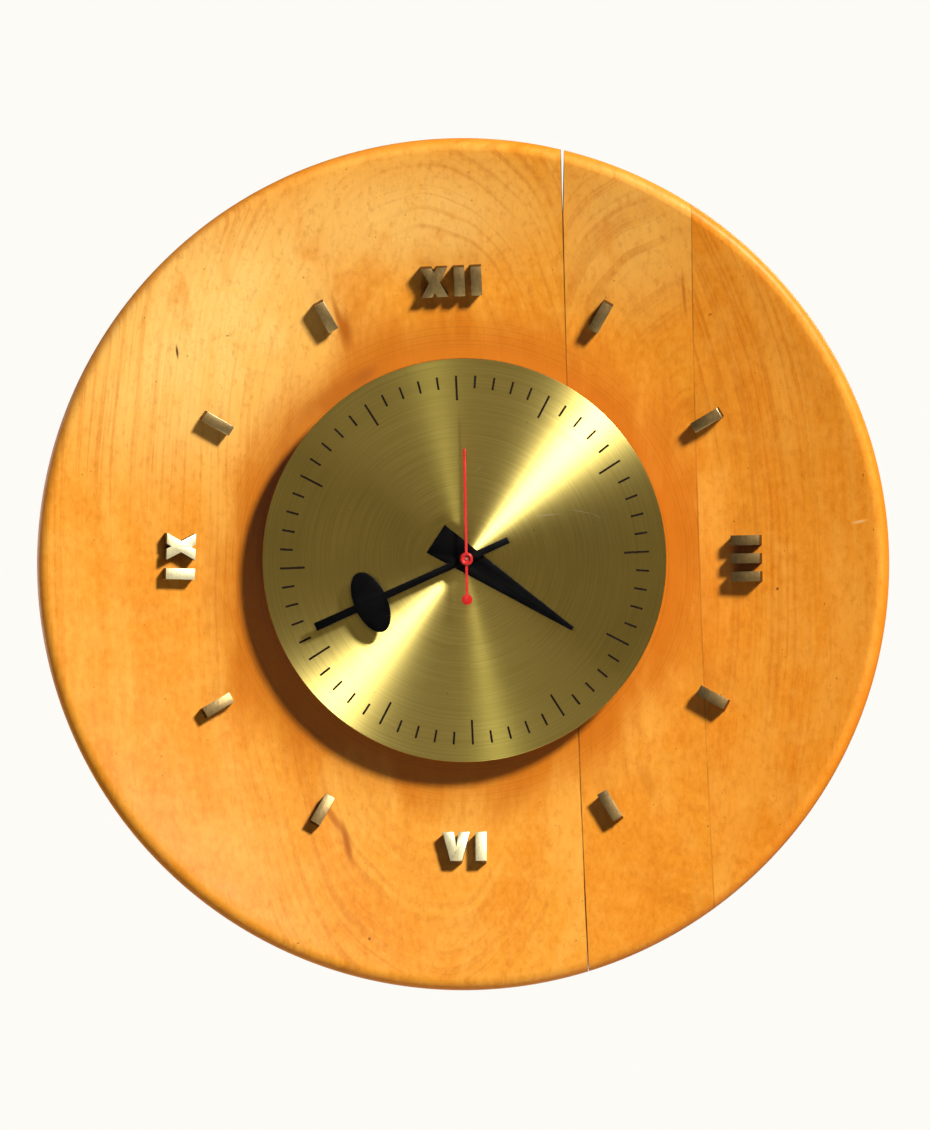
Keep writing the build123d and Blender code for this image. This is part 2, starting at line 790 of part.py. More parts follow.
def centre_train():
    phase = mesh_phase(0, third_pinion_teeth, centre_teeth, third_direction + 180)
    tube_back = plate_front + running_gap
    tube_front = minute_hand_height + hand_thickness + tube_before
    body = slab(wheel(centre_teeth, centre_module, phase, collar_hub_radius), centre_back, wheel_thickness)
    cannon_back = centre_back + wheel_thickness
    cannon_front = minute_wheel_back + wheel_thickness + pipe_before
    body += slab(gear(cannon_teeth, cannon_module, 0), cannon_back, cannon_front - cannon_back)
    body += disc(minute_tube_radius, tube_back, tube_front - tube_back)
    body -= hole(second_arbor_radius + shaft_clearance, tube_back, tube_front - tube_back)
    write("centre_wheel", body)


def motion_work():
    x, z = minute_wheel_place
    phase = mesh_phase(0, cannon_teeth, minute_wheel_teeth, minute_wheel_direction)
    body = slab(wheel(minute_wheel_teeth, cannon_module, phase), minute_wheel_back, wheel_thickness, x, z)
    pinion_back = minute_wheel_back + wheel_thickness
    body += slab(gear(minute_pinion_teeth, hour_module, 0), pinion_back, hour_wheel_front - pinion_back, x, z)
    arbor_back = knob_front - knob_socket
    body += disc(knob_arbor_radius, arbor_back, long_pivot_front - arbor_back, x, z)
    write("minute_wheel", body)
    flutes = Circle(knob_radius)
    for flute in range(knob_flutes):
        fx, fz = polar(knob_radius + flute_offset, flute * 360 / knob_flutes)
        flutes -= Pos(fx, fz) * Circle(flute_radius)
    knob = slab(flutes, knob_front - knob_thickness, knob_thickness, x, z)
    knob -= disc(knob_arbor_radius, arbor_back, knob_socket + past, x, z)
    write("setting_knob", knob)
    hour_phase = mesh_phase(0, minute_pinion_teeth, hour_wheel_teeth, minute_wheel_direction + 180)
    pipe = slab(wheel(hour_wheel_teeth, hour_module, hour_phase, collar_hub_radius), hour_wheel_back, wheel_thickness)
    pipe_front = hour_hand_height + hand_thickness + pipe_before
    pipe += disc(hour_pipe_radius, hour_wheel_back, pipe_front - hour_wheel_back)
    pipe -= hole(minute_tube_radius + shaft_clearance, hour_wheel_back, pipe_front - hour_wheel_back)
    write("hour_wheel", pipe)


# ---- movement case ----
def plate_posts():
    left, low = (edge + plate_post_inset for edge in middle_plate_low)
    right, high = (edge - plate_post_inset for edge in middle_plate_high)
    return [(left, low), (right, low), (right, high), (left, high)]


def stator_posts():
    return [(stator_left_x, stator_post_z), (stator_right_x, stator_post_z)]


def cover_screw_places():
    x = case_size / 2 - cover_screw_inset
    return [(-x, x), (x, x), (-x, cover_screw_low_z), (x, cover_screw_low_z)]


def post_with_peg(x, z, post_back, peg_back):
    return disc(case_post_radius, post_back, front_wall_inside - post_back, x, z) + disc(
        post_peg_radius, peg_back, post_back - peg_back, x, z)


def contact_slots():
    room = contact_slot_room
    front = circuit_front + contact_height + room
    slots = []
    for side in (-1, 1):
        x = side * (battery_reach + contact_thickness / 2)
        half = contact_thickness / 2 + room
        slots.append(block(x - half, x + half, bay_top - room, bay_wall_top + room, case_back - past, front))
    return slots


def movement_case():
    half = case_size / 2
    inner = case_inner
    body = block(-half, half, -half, half, case_back, case_front)
    body = fillet(body.edges().filter_by(Axis.Y), case_corner)
    body -= block(-inner, inner, bay_wall_top, inner, case_back - past, front_wall_inside)
    body -= block(-inner, inner, -inner, bay_top, case_back - past, front_wall_inside)
    for x, z in plate_posts():
        body += post_with_peg(x, z, plate_front, plate_back - peg_stand)
    for x, z in stator_posts():
        body += post_with_peg(x, z, core_front, stator_back - peg_stand)
    for x, z in cover_screw_places():
        body += disc(cover_boss_radius, cover_front, front_wall_inside - cover_front, x, z)
        body -= disc(cover_screw_radius, cover_front - past, cover_screw_depth + past, x, z)
    body -= hole(post_radius, front_wall_inside, case_wall)
    for (x, z), radius in ((third_place, pivot_radius), (minute_wheel_place, knob_arbor_radius)):
        bearing = front_wall_inside - pivot_end_gap
        body -= disc(radius + pivot_clearance, bearing, pivot_bearing_depth + pivot_end_gap, x, z)
    body -= contact_slots()
    write("movement_case", body)


def movement_cover():
    reach = case_inner - cover_gap
    body = block(-reach, reach, bay_wall_top + cover_gap, reach, case_back, cover_front)
    for x, z in ((0.0, 0.0), intermediate_place, third_place, rotor_place):
        radius = second_arbor_radius if (x, z) == (0.0, 0.0) else pivot_radius
        body -= hole(radius + pivot_clearance, case_back, case_wall, x, z)
    x, z = minute_wheel_place
    body -= hole(knob_arbor_radius + pivot_clearance, case_back, case_wall, x, z)
    screws = []
    for x, z in cover_screw_places():
        head_back = case_back - cover_screw_head
        head = disc(cover_screw_head_radius, head_back, cover_screw_head, x, z)
        head -= slab(cross_recess(cover_screw_head_radius), head_back - past, cover_screw_head / 2 + past, x, z)
        screws.append(head + disc(cover_screw_radius, case_back, case_wall + cover_screw_depth, x, z))
        body -= hole(cover_screw_radius, case_back, case_wall, x, z)
    write("movement_cover", body)
    write_group("cover_screws", screws)


def middle_plate():
    left, low = middle_plate_low
    right, high = middle_plate_high
    plate = block(left, right, low, high, plate_back, plate_front)
    plate = fillet(plate.edges().filter_by(Axis.Y), middle_plate_corner)
    for x, z in plate_posts():
        plate -= hole(post_peg_radius, plate_back, plate_thickness, x, z)
    plate -= hole(second_arbor_radius + pivot_clearance, plate_back, plate_thickness)
    for x, z in (intermediate_place, third_place, rotor_place):
        plate -= hole(pivot_radius + pivot_clearance, plate_back, plate_thickness, x, z)
    x, z = minute_wheel_place
    plate -= hole(knob_arbor_radius + pivot_clearance, plate_back, plate_thickness, x, z)
    write("middle_plate", plate)


def clamping_parts():
    post_back = front_wall_inside
    post_front = dial_front + washer_thickness + nut_thickness - thread_end_gap
    post = disc(post_radius, post_back, post_front - post_back)
    post += disc(post_flange_radius, case_front, gasket_thickness)
    post -= hole(hour_pipe_radius + shaft_clearance, post_back, post_front - post_back)
    write("mounting_post", post)
    write("rubber_gasket", ring(gasket_radius, post_flange_radius, case_front, gasket_thickness))
    write("post_washer", ring(washer_radius, post_radius, dial_front, washer_thickness))
    nut_back = dial_front + washer_thickness
    outline = Circle(nut_radius)
    for notch in range(4):
        outline -= Rot(0, 0, notch * 90 + 45) * Pos(nut_radius, 0) * Rectangle(nut_notch, nut_notch)
    nut = slab(outline, nut_back, nut_thickness)
    nut -= hole(post_radius, nut_back, nut_thickness)
    write("post_nut", nut)


# ---- motor and electrics ----
def motor():
    rx, rz = rotor_place
    bore = magnet_radius + stator_gap
    arm_z = rz - stator_arm / 2
    right_width = stator_arm + pivot_inset
    right_edge = stator_right_x + right_width / 2
    outline = Pos(rx, rz) * Circle(bore + stator_rim)
    outline += Pos((rx + right_edge) / 2, arm_z) * Rectangle(right_edge - rx, stator_arm)
    outline += Pos(stator_left_x, (rz + stator_top) / 2) * Rectangle(stator_left_width, stator_top - rz)
    outline += Pos(stator_right_x, (arm_z + stator_top) / 2) * Rectangle(right_width, stator_top - arm_z)
    outline -= Pos(rx, rz) * Circle(bore)
    stator = slab(outline, stator_back, stator_thickness)
    core_low = stator_post_z - core_width / 2
    core_high = stator_post_z + core_width / 2
    core = block(
        stator_left_x - core_overhang, stator_right_x + core_overhang, core_low, core_high, core_back, core_front)
    for x, z in stator_posts():
        peg = hole(post_peg_radius, stator_back, stator_thickness + core_thickness, x, z)
        stator -= peg
        core -= peg
    write("stator_plate", stator)
    write("coil_core", core)
    end = bobbin_start + bobbin_length
    along = Plane(origin=(bobbin_start, -bobbin_height, stator_post_z), x_dir=(0, 1, 0), z_dir=(1, 0, 0))
    spool = extrude(along * Circle(bobbin_tube_radius), bobbin_length)
    spool += extrude(along * Circle(bobbin_radius), bobbin_flange)
    spool += extrude(along.offset(bobbin_length - bobbin_flange) * Circle(bobbin_radius), bobbin_flange)
    spool -= block(bobbin_start - past, end + past, core_low, core_high, core_back, core_front)
    write("coil_bobbin", spool)
    section = Circle(bobbin_radius - winding_below_flange) - Circle(bobbin_tube_radius)
    write("coil_winding", extrude(along.offset(bobbin_flange) * section, bobbin_length - 2 * bobbin_flange))


def electrics():
    low = bay_wall_top + board_gap
    reach = case_inner - board_end_gap
    middle = low + board_width / 2
    write("circuit_board", block(-reach, reach, low, low + board_width, circuit_back, circuit_front))
    chip = extrude(facing(circuit_front, chip_x, middle) * Circle(chip_radius), chip_height, taper=chip_slope)
    write("timing_chip", chip)
    can = Plane(origin=(crystal_x, -circuit_front - crystal_radius, middle), x_dir=(0, 1, 0), z_dir=(1, 0, 0))
    write("quartz_crystal", extrude(can * Circle(crystal_radius), crystal_length))


def battery():
    height = front_wall_inside - battery_radius - battery_clearance
    low_x = -(battery_length + battery_nub_length) / 2
    end = Plane(origin=(low_x, -height, bay_middle), x_dir=(0, 1, 0), z_dir=(1, 0, 0))
    cell = extrude(end * Circle(battery_radius), battery_length)
    cell = chamfer(cell.edges().filter_by(GeomType.CIRCLE), battery_edge_break)
    cell += extrude(end.offset(battery_length) * Circle(battery_nub_radius), battery_nub_length)
    write("battery_cell", cell)
    thick = contact_thickness
    low = bay_middle - contact_below
    high = bay_wall_top + contact_on_board
    turned_back = bay_middle + contact_above
    contacts = []
    for side in (-1, 1):
        near = side * battery_reach
        far = side * case_inner
        leaf = outline_of(
            (near, high), (near + side * thick, high), (near + side * thick, low + thick),
            (far - side * thick, low + thick), (far - side * thick, turned_back), (far, turned_back),
            (far, low), (near, low))
        contacts.append(slab(leaf, circuit_front, contact_height))
    write_group("battery_contacts", contacts)


boards()
hanger()
spacer()
dial()
markers()
hour_hand()
minute_hand()
second_hand()
seconds_train()
intermediate_train()
rotor()
third_train()
centre_train()
motion_work()
movement_case()
movement_cover()
middle_plate()
clamping_parts()
motor()
electrics()
battery()
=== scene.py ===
import bmesh
import bpy
import json
import math
from mathutils import Matrix, Vector


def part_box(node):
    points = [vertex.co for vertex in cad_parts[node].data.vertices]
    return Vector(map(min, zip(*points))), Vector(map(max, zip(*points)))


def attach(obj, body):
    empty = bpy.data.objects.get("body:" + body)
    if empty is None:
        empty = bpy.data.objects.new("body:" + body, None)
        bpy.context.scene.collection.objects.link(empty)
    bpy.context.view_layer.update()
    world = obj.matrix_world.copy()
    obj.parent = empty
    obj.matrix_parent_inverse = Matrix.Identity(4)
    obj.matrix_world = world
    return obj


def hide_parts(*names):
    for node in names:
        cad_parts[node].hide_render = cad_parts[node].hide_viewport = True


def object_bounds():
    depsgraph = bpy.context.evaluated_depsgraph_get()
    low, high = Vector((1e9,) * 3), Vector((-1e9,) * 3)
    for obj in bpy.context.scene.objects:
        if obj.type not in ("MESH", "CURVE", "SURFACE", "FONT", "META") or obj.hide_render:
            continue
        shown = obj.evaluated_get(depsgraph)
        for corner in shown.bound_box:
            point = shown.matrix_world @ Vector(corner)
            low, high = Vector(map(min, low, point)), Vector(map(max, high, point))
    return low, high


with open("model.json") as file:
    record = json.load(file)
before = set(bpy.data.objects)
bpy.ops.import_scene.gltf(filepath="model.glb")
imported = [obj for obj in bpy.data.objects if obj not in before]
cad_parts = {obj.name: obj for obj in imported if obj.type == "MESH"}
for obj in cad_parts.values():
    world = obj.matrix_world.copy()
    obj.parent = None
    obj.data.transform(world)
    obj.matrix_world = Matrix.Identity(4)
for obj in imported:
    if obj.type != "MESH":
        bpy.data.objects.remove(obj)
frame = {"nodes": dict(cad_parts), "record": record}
cadLow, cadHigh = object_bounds()
nodes = frame["nodes"]
bodyOfNode = {n: b for b, names in frame["record"]["behaviour"]["bodies"].items() for n in names}
slotOfNode = {s["node"]: s["material_slot"] for s in frame["record"]["subparts"]}
print("frame loaded:", len(nodes), "nodes")


def addNode(tree, kind, inputs=None, **settings):
    node = tree.nodes.new(kind)
    for key, value in settings.items():
        setattr(node, key, value)
    for key, value in (inputs or {}).items():
        socket = node.inputs[key]
        if isinstance(value, bpy.types.NodeSocket):
            tree.links.new(value, socket)
        else:
            socket.default_value = value
    return node


def startMaterial(name, **sockets):
    mat = bpy.data.materials.new(name)
    mat.use_nodes = True
    tree = mat.node_tree
    tree.nodes.clear()
    out = tree.nodes.new("ShaderNodeOutputMaterial")
    shader = tree.nodes.new("ShaderNodeBsdfPrincipled")
    tree.links.new(shader.outputs["BSDF"], out.inputs["Surface"])
    for key, value in sockets.items():
        shader.inputs[key].default_value = value
    return mat, tree, shader


def objectPlace(tree):
    return addNode(tree, "ShaderNodeTexCoord").outputs["Object"]


def mapped(tree, place, move=(0, 0, 0), turn=(0, 0, 0), scale=(1, 1, 1)):
    inputs = {"Vector": place, "Location": move, "Rotation": turn, "Scale": scale}
    return addNode(tree, "ShaderNodeMapping", inputs).outputs["Vector"]


def noise(tree, place, scale, detail=3.0, rough=0.5, warp=0.0):
    inputs = {"Vector": place, "Scale": scale, "Detail": detail, "Roughness": rough, "Distortion": warp}
    return addNode(tree, "ShaderNodeTexNoise", inputs).outputs["Fac"]


# noise with its own scale on each axis, leaning by some degrees about Y
def stretched(tree, place, scale, detail=3.0, rough=0.5, warp=0.0, lean=0):
    leaning = mapped(tree, place, turn=(0, math.radians(lean), 0), scale=scale)
    return noise(tree, leaning, 1.0, detail, rough, warp)


def maths(tree, operation, a, b=0.0):
    return addNode(tree, "ShaderNodeMath", {0: a, 1: b}, operation=operation).outputs[0]


def times(tree, a, b):
    return maths(tree, "MULTIPLY", a, b)


def vectorMaths(tree, operation, a, b):
    return addNode(tree, "ShaderNodeVectorMath", {0: a, 1: b}, operation=operation).outputs[0]


def vectorLength(tree, vector):
    return addNode(tree, "ShaderNodeVectorMath", {0: vector}, operation="LENGTH").outputs["Value"]


def combined(tree, x, y=0.0, z=0.0):
    return addNode(tree, "ShaderNodeCombineXYZ", {"X": x, "Y": y, "Z": z}).outputs["Vector"]


def parted(tree, vector, axis):
    return addNode(tree, "ShaderNodeSeparateXYZ", {"Vector": vector}).outputs[axis]


def attribute(tree, name):
    return addNode(tree, "ShaderNodeAttribute", attribute_name=name).outputs["Fac"]


def ranged(tree, value, low, high, toLow=0.0, toHigh=1.0, smooth=False):
    inputs = {"Value": value, "From Min": low, "From Max": high, "To Min": toLow, "To Max": toHigh}
    kind = "SMOOTHSTEP" if smooth else "LINEAR"
    node = addNode(tree, "ShaderNodeMapRange", inputs, interpolation_type=kind, clamp=True)
    return node.outputs["Result"]


def mixColour(tree, amount, a, b, blend="MIX"):
    node = addNode(tree, "ShaderNodeMix", data_type="RGBA", blend_type=blend)
    for socket, value in zip((node.inputs[0], node.inputs[6], node.inputs[7]), (amount, a, b)):
        if isinstance(value, bpy.types.NodeSocket):
            tree.links.new(value, socket)
        else:
            socket.default_value = value if isinstance(value, float) else (*value, 1.0)
    return node.outputs[2]


# lays a colour over the base as a value goes from low to high
def overlay(tree, base, colour, value, low, high, amount, smooth=False):
    return mixColour(tree, ranged(tree, value, low, high, 0.0, amount, smooth), base, colour)


def ramp(tree, value, stops):
    node = addNode(tree, "ShaderNodeValToRGB", {"Fac": value})
    elements = node.color_ramp.elements
    while len(elements) < len(stops):
        elements.new(1.0)
    for element, (spot, colour) in zip(elements, stops):
        element.position = spot
        element.color = (*colour, 1.0)
    return node.outputs["Color"]


def bump(tree, height, strength, depth):
    inputs = {"Height": height, "Strength": strength, "Distance": depth}
    return addNode(tree, "ShaderNodeBump", inputs).outputs["Normal"]


# distance from an axis along Y through a centre given as (x, z)
def axisRadius(tree, place, centre):
    moved = mapped(tree, place, move=(-centre[0], 0, -centre[1]))
    return vectorLength(tree, vectorMaths(tree, "MULTIPLY", moved, (1, 0, 1)))


# soft round or long mask on a face that looks along Y, one at its middle
def spot(tree, place, at, size, turn):
    moved = mapped(tree, place, move=(-at[0], 0, -at[1]))
    turned = mapped(tree, moved, turn=(0, math.radians(turn), 0))
    scaled = mapped(tree, turned, scale=(1 / size[0], 0, 1 / size[1]))
    return ranged(tree, vectorLength(tree, scaled), 1.0, 0.15, smooth=True)


# sizes in metres, angles in degrees
bowlLook = {
    "floorHeight": 0.026, "floorRadius": 0.105, "ringRadius": 0.1417, "ringSlope": 15, "rimSlope": 24,
    "lip": 0.005, "backRadius": 0.118, "undersideAngle": 38, "turns": 288,
    "pocketRadius": 0.045, "web": 0.006, "boreRadius": 0.00425,
    "glueHalfHeight": 0.05, "hairline": 0.00045, "crackMouth": 0.0025, "crackKnee": 0.170,
    "hangerGap": 0.0002, "keyholeHalf": 0.006, "keyholeDepth": 0.0096, "keyholeFoot": 0.072,
    "keyholeTop": 0.0925, "past": 0.001,
}
wideLow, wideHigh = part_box("board_wide")
bowlRadius = (wideHigh.z - wideLow.z) / 2
bowlCentre = Vector((wideLow.x + bowlRadius, 0, wideLow.z + bowlRadius))
jointOne = wideHigh.x
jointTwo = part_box("board_outer")[0].x
hangerLow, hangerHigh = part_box("hanger_plate")
dialLow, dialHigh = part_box("dial_plate")
dialCentre = Vector(((dialLow.x + dialHigh.x) / 2, 0, (dialLow.z + dialHigh.z) / 2))

woodLook = {
    "cream": (0.93, 0.450, 0.085), "pale": (0.86, 0.340, 0.034), "middle": (0.82, 0.285, 0.020),
    "blotch": (0.73, 0.230, 0.012), "late": (0.56, 0.155, 0.008), "paintedLightColour": (0.96, 0.60, 0.19),
    "glue": (0.06, 0.018, 0.004), "rim": (0.72, 0.20, 0.012), "dish": (0.58, 0.155, 0.004),
    "turnedLine": (0.24, 0.05, 0.003), "speck": (0.13, 0.04, 0.008), "brown": (0.44, 0.115, 0.008),
    "soot": (0.04, 0.012, 0.004), "paintedScratchGlint": (0.98, 0.74, 0.44),
    "wander": 0.016, "broadYears": 75.0, "fineYears": 640.0, "turnedLines": 900.0,
    "dishEdge": 0.166, "dishFloor": 0.130, "glueHalfWidth": 0.00045, "waves": 0.0022,
}

# the pith is (x, y) of the heart of the log; a pool of painted light is (at, size, lean, amount),
# a mark is (at, size, lean, colour, amount)
boardLook = {
    "board_wide": {
        "pith": (-0.024, 0.070), "seed": 0.31, "toneAndPaintedShade": (1.0, 1.0, 0.9),
        "edges": ((jointOne, 0.85),),
        "paintedLightPools": (
            ((-0.1200, 0.1150), (0.1150, 0.0800), 40, 1.0),
            ((-0.0200, 0.1700), (0.0800, 0.0400), 0, 0.7),
        ),
        "marks": (
            ((-0.1396, 0.1072), (0.0009, 0.0050), 4, "soot", 1.0),
            ((-0.0566, 0.1160), (0.0050, 0.0140), 8, "brown", 0.95),
            ((-0.0600, 0.1235), (0.0024, 0.0120), 14, "brown", 0.8),
            ((-0.0610, 0.0850), (0.0380, 0.0090), 30, "brown", 0.60),
            ((-0.0480, 0.0930), (0.0100, 0.0042), 30, "brown", 0.8),
            ((-0.0900, 0.0560), (0.0250, 0.0070), 58, "brown", 0.35),
            ((-0.0640, -0.1390), (0.0026, 0.0150), 12, "brown", 0.95),
            ((-0.0700, -0.1270), (0.0030, 0.0170), 34, "brown", 0.75),
            ((-0.0540, -0.1856), (0.0009, 0.0009), 0, "soot", 0.9),
        ),
    },
    "board_middle": {
        "pith": (0.160, 0.110), "seed": 1.7, "toneAndPaintedShade": (0.97, 0.91, 0.7),
        "edges": ((jointOne, 0.85), (jointTwo, 0.45)),
        "paintedLightPools": (((0.0850, 0.1600), (0.0600, 0.0600), 0, 0.55),),
        "marks": (
            ((0.0860, -0.1130), (0.0050, 0.0150), 20, "brown", 0.30),
            ((0.1120, 0.1270), (0.0014, 0.0170), 4, "brown", 0.55),
        ),
    },
    "board_outer": {
        "pith": (0.020, 0.120), "seed": 2.9, "toneAndPaintedShade": (0.96, 0.86, 0.64),
        "edges": ((jointTwo, 0.45),),
        "paintedLightPools": (),
        "marks": (
            ((0.1538, -0.0199), (0.0011, 0.0011), 0, "soot", 0.85),
            # a painted glint off a small scratch on the right of the bowl
            ((0.1940, 0.0120), (0.0050, 0.0010), 10, "paintedScratchGlint", 0.6),
        ),
    },
}


# varnished board, sawn from a log whose pith runs up beside it
def woodMaterial(name, pith, seed, toneAndPaintedShade, edges, paintedLightPools, marks):
    look = woodLook
    mat, tree, shader = startMaterial(
        name, **{"Coat Roughness": 0.3, "Coat IOR": 1.5, "Specular IOR Level": 0.12})
    place = objectPlace(tree)
    shifted = mapped(tree, place, move=(seed, seed * 0.7, seed * 1.3))
    slow = mapped(tree, shifted, scale=(1.0, 1.0, 0.4))
    # distance from the pith, bent here and there as a trunk grows
    inputs = {"Vector": slow, "Scale": 11.0, "Detail": 2.5}
    wander = addNode(tree, "ShaderNodeTexNoise", inputs).outputs["Color"]
    centred = vectorMaths(tree, "SUBTRACT", wander, (0.5, 0.5, 0.5))
    drift = vectorMaths(tree, "MULTIPLY", centred, (look["wander"],) * 3)
    bent = vectorMaths(tree, "ADD", place, drift)
    grown = mapped(tree, bent, move=(-pith[0], -pith[1], 0))
    leaning = mapped(tree, grown, turn=(math.radians(1.5), math.radians(-1.2), 0))
    age = vectorLength(tree, vectorMaths(tree, "MULTIPLY", leaning, (1, 1, 0)))
    along = parted(tree, leaning, "Z")

    def years(perMetre, alongScale, offset):
        across, up = times(tree, age, perMetre), times(tree, along, alongScale)
        return noise(tree, combined(tree, across, up, seed + offset), 1.0, 3.0, 0.55)

    broad = years(look["broadYears"], 3.0, 0.0)
    fine = years(look["fineYears"], 6.0, 5.0)
    base = ramp(tree, broad, [
        (0.28, look["cream"]), (0.44, look["pale"]), (0.60, look["middle"]), (0.85, look["blotch"])])
    even = mixColour(tree, 0.5, look["pale"], look["middle"])
    base = mixColour(tree, 0.45, base, even)
    # pools of painted light brighten the upper left and the top of the bowl
    for at, size, turn, amount in paintedLightPools:
        mask = times(tree, spot(tree, place, at, size, turn), amount)
        base = mixColour(tree, mask, base, look["paintedLightColour"])
    shown = ranged(tree, noise(tree, slow, 16.0, 2.0), 0.38, 0.62, 0.08, 0.42, True)
    lines = times(tree, ranged(tree, fine, 0.49, 0.62), shown)
    base = mixColour(tree, lines, base, look["late"])
    # clouds, curl, pores and mottle under the varnish
    cloud = stretched(tree, shifted, (34, 34, 13), 4.0, 0.6, 0.4, lean=9)
    base = overlay(tree, base, look["cream"], cloud, 0.48, 0.70, 0.55, True)
    base = overlay(tree, base, look["blotch"], cloud, 0.46, 0.28, 0.55, True)
    curl = stretched(tree, shifted, (22, 22, 75), 2.0, lean=-14)
    base = overlay(tree, base, look["cream"], curl, 0.48, 0.75, 0.22, True)
    streaks = stretched(tree, shifted, (430, 430, 15), 3.0, 0.6)
    base = overlay(tree, base, look["late"], streaks, 0.52, 0.8, 0.24)
    mottle = stretched(tree, shifted, (320, 320, 210), 4.0, 0.7)
    base = overlay(tree, base, look["cream"], mottle, 0.50, 0.72, 0.40)
    base = overlay(tree, base, look["late"], mottle, 0.48, 0.30, 0.34)
    specks = noise(tree, shifted, 430.0, 1.0)
    base = overlay(tree, base, look["speck"], specks, 0.785, 0.81, 0.6)
    # darker and redder over the rim, darker towards the bottom of the dish
    radius = axisRadius(tree, place, (bowlCentre.x, bowlCentre.z))
    ragged = maths(tree, "ADD", radius, times(tree, cloud, 0.006))
    base = overlay(tree, base, look["rim"], ragged, bowlRadius - 0.0015, bowlRadius + 0.002, 0.6, True)
    front = attribute(tree, "front")
    uneven = maths(tree, "ADD", radius, times(tree, cloud, 0.055))
    deep = ranged(tree, uneven, look["dishEdge"], look["dishFloor"], 0.0, 0.88, True)
    dishTint = times(tree, deep, front)
    base = mixColour(tree, dishTint, base, look["dish"])
    turned = noise(tree, combined(tree, times(tree, radius, look["turnedLines"])), 1.0, 2.0)
    turnedLines = times(tree, ranged(tree, turned, 0.52, 0.66, 0.0, 0.25), dishTint)
    base = mixColour(tree, turnedLines, base, look["turnedLine"])
    for at, size, turn, colour, amount in marks:
        mask = times(tree, times(tree, spot(tree, place, at, size, turn), amount), front)
        base = mixColour(tree, mask, base, look[colour])
    sideways = parted(tree, place, "X")
    for edge, darkness in edges:
        gap = maths(tree, "ABSOLUTE", maths(tree, "SUBTRACT", sideways, edge))
        patchy = ranged(tree, noise(tree, place, 28.0, 3.0), 0.35, 0.6, 0.25, 1.0)
        line = ranged(tree, gap, look["glueHalfWidth"], look["glueHalfWidth"] / 3, 0.0, darkness)
        base = mixColour(tree, times(tree, line, patchy), base, look["glue"])
    # the tone multiplies the colour: partly each board's own tone, partly painted shade that darkens
    # and reddens the right-hand boards
    tinted = mixColour(tree, 1.0, base, toneAndPaintedShade, "MULTIPLY")
    tree.links.new(tinted, shader.inputs["Base Color"])
    smear = stretched(tree, shifted, (40, 40, 14), 3.0)
    tree.links.new(ranged(tree, smear, 0.3, 0.75, 0.36, 0.5), shader.inputs["Roughness"])
    coat = ranged(tree, radius, bowlRadius - 0.008, bowlRadius - 0.003, 0.22, 0.04, True)
    tree.links.new(coat, shader.inputs["Coat Weight"])
    grain = maths(tree, "ADD", times(tree, streaks, 0.12), noise(tree, shifted, 26.0, 2.0))
    tree.links.new(bump(tree, grain, 0.35, look["waves"]), shader.inputs["Normal"])
    return mat


# turns a vertex about a centre in the section plane, leaves an arc and gives back its end
def sweep(bm, vert, centre, degrees, steps):
    made = bmesh.ops.spin(
        bm, geom=[vert], cent=(*centre, 0), axis=(0, 0, 1), dvec=(0, 0, 0),
        angle=math.radians(degrees), steps=steps, use_merge=False, use_duplicate=False)
    return [v for v in made["geom_last"] if isinstance(v, bmesh.types.BMVert)][0]


# extends the section with straight runs through spots given as (radius, -height)
def drawOn(bm, vert, spots):
    for across, down in spots:
        fresh = bm.verts.new((across, down, 0))
        bm.edges.new((vert, fresh))
        vert = fresh
    return vert


# spins the whole section round the Y axis
def spinRound(bm, steps):
    bmesh.ops.spin(
        bm, geom=bm.verts[:] + bm.edges[:], cent=(0, 0, 0), axis=(0, 1, 0), dvec=(0, 0, 0),
        angle=2 * math.pi, steps=steps, use_merge=True, use_duplicate=False)
    bmesh.ops.remove_doubles(bm, verts=bm.verts, dist=1e-6)


# the whole turned bowl, before it is divided into its boards
def bowlBlank():
    look = bowlLook
    bm = bmesh.new()
    floor = -look["floorHeight"]
    vert = drawOn(bm, bm.verts.new((0, floor, 0)), [
        (0.03, floor), (0.06, floor), (0.09, floor), (look["floorRadius"], floor)])
    low, high = math.radians(look["ringSlope"]), math.radians(look["rimSlope"])
    bend = (look["ringRadius"] - look["floorRadius"]) / math.sin(low)
    vert = sweep(bm, vert, (look["floorRadius"], floor - bend), -look["ringSlope"], 10)
    end = bowlRadius - look["lip"] * (1 + math.sin(high))
    bend = (end - look["ringRadius"]) / (math.sin(high) - math.sin(low))
    centre = (vert.co.x - bend * math.sin(low), vert.co.y - bend * math.cos(low))
    vert = sweep(bm, vert, centre, look["ringSlope"] - look["rimSlope"], 16)
    centre = (bowlRadius - look["lip"], vert.co.y + look["lip"] * math.cos(high))
    vert = sweep(bm, vert, centre, 180 + look["rimSlope"] - look["undersideAngle"], 16)
    under = math.radians(look["undersideAngle"])
    along = Vector((-math.cos(under), math.sin(under)))
    chord = Vector((look["backRadius"], 0)) - vert.co.xy
    turn = -along.angle_signed(chord)          # signed the other way round from the spin
    reach = chord.length / (2 * math.sin(turn))
    centre = (vert.co.x - along.y * reach, vert.co.y + along.x * reach)
    vert = sweep(bm, vert, centre, math.degrees(2 * turn), 18)
    drawOn(bm, vert, [(0.09, 0), (0.06, 0), (0.03, 0), (0, 0)])
    spinRound(bm, look["turns"])
    bmesh.ops.translate(bm, verts=bm.verts, vec=bowlCentre)
    bmesh.ops.recalc_face_normals(bm, faces=bm.faces)
    return bm


# cuts on a plane across X, keeps one side and closes the cut
def sliced(bm, x, keepLeft):
    cut = bmesh.ops.bisect_plane(
        bm, geom=bm.verts[:] + bm.edges[:] + bm.faces[:], dist=1e-7,
        plane_co=(x, 0, 0), plane_no=(1, 0, 0), clear_outer=keepLeft, clear_inner=not keepLeft)
    loop = [e for e in cut["geom_cut"] if isinstance(e, bmesh.types.BMEdge)]
    bmesh.ops.contextual_create(bm, geom=loop)


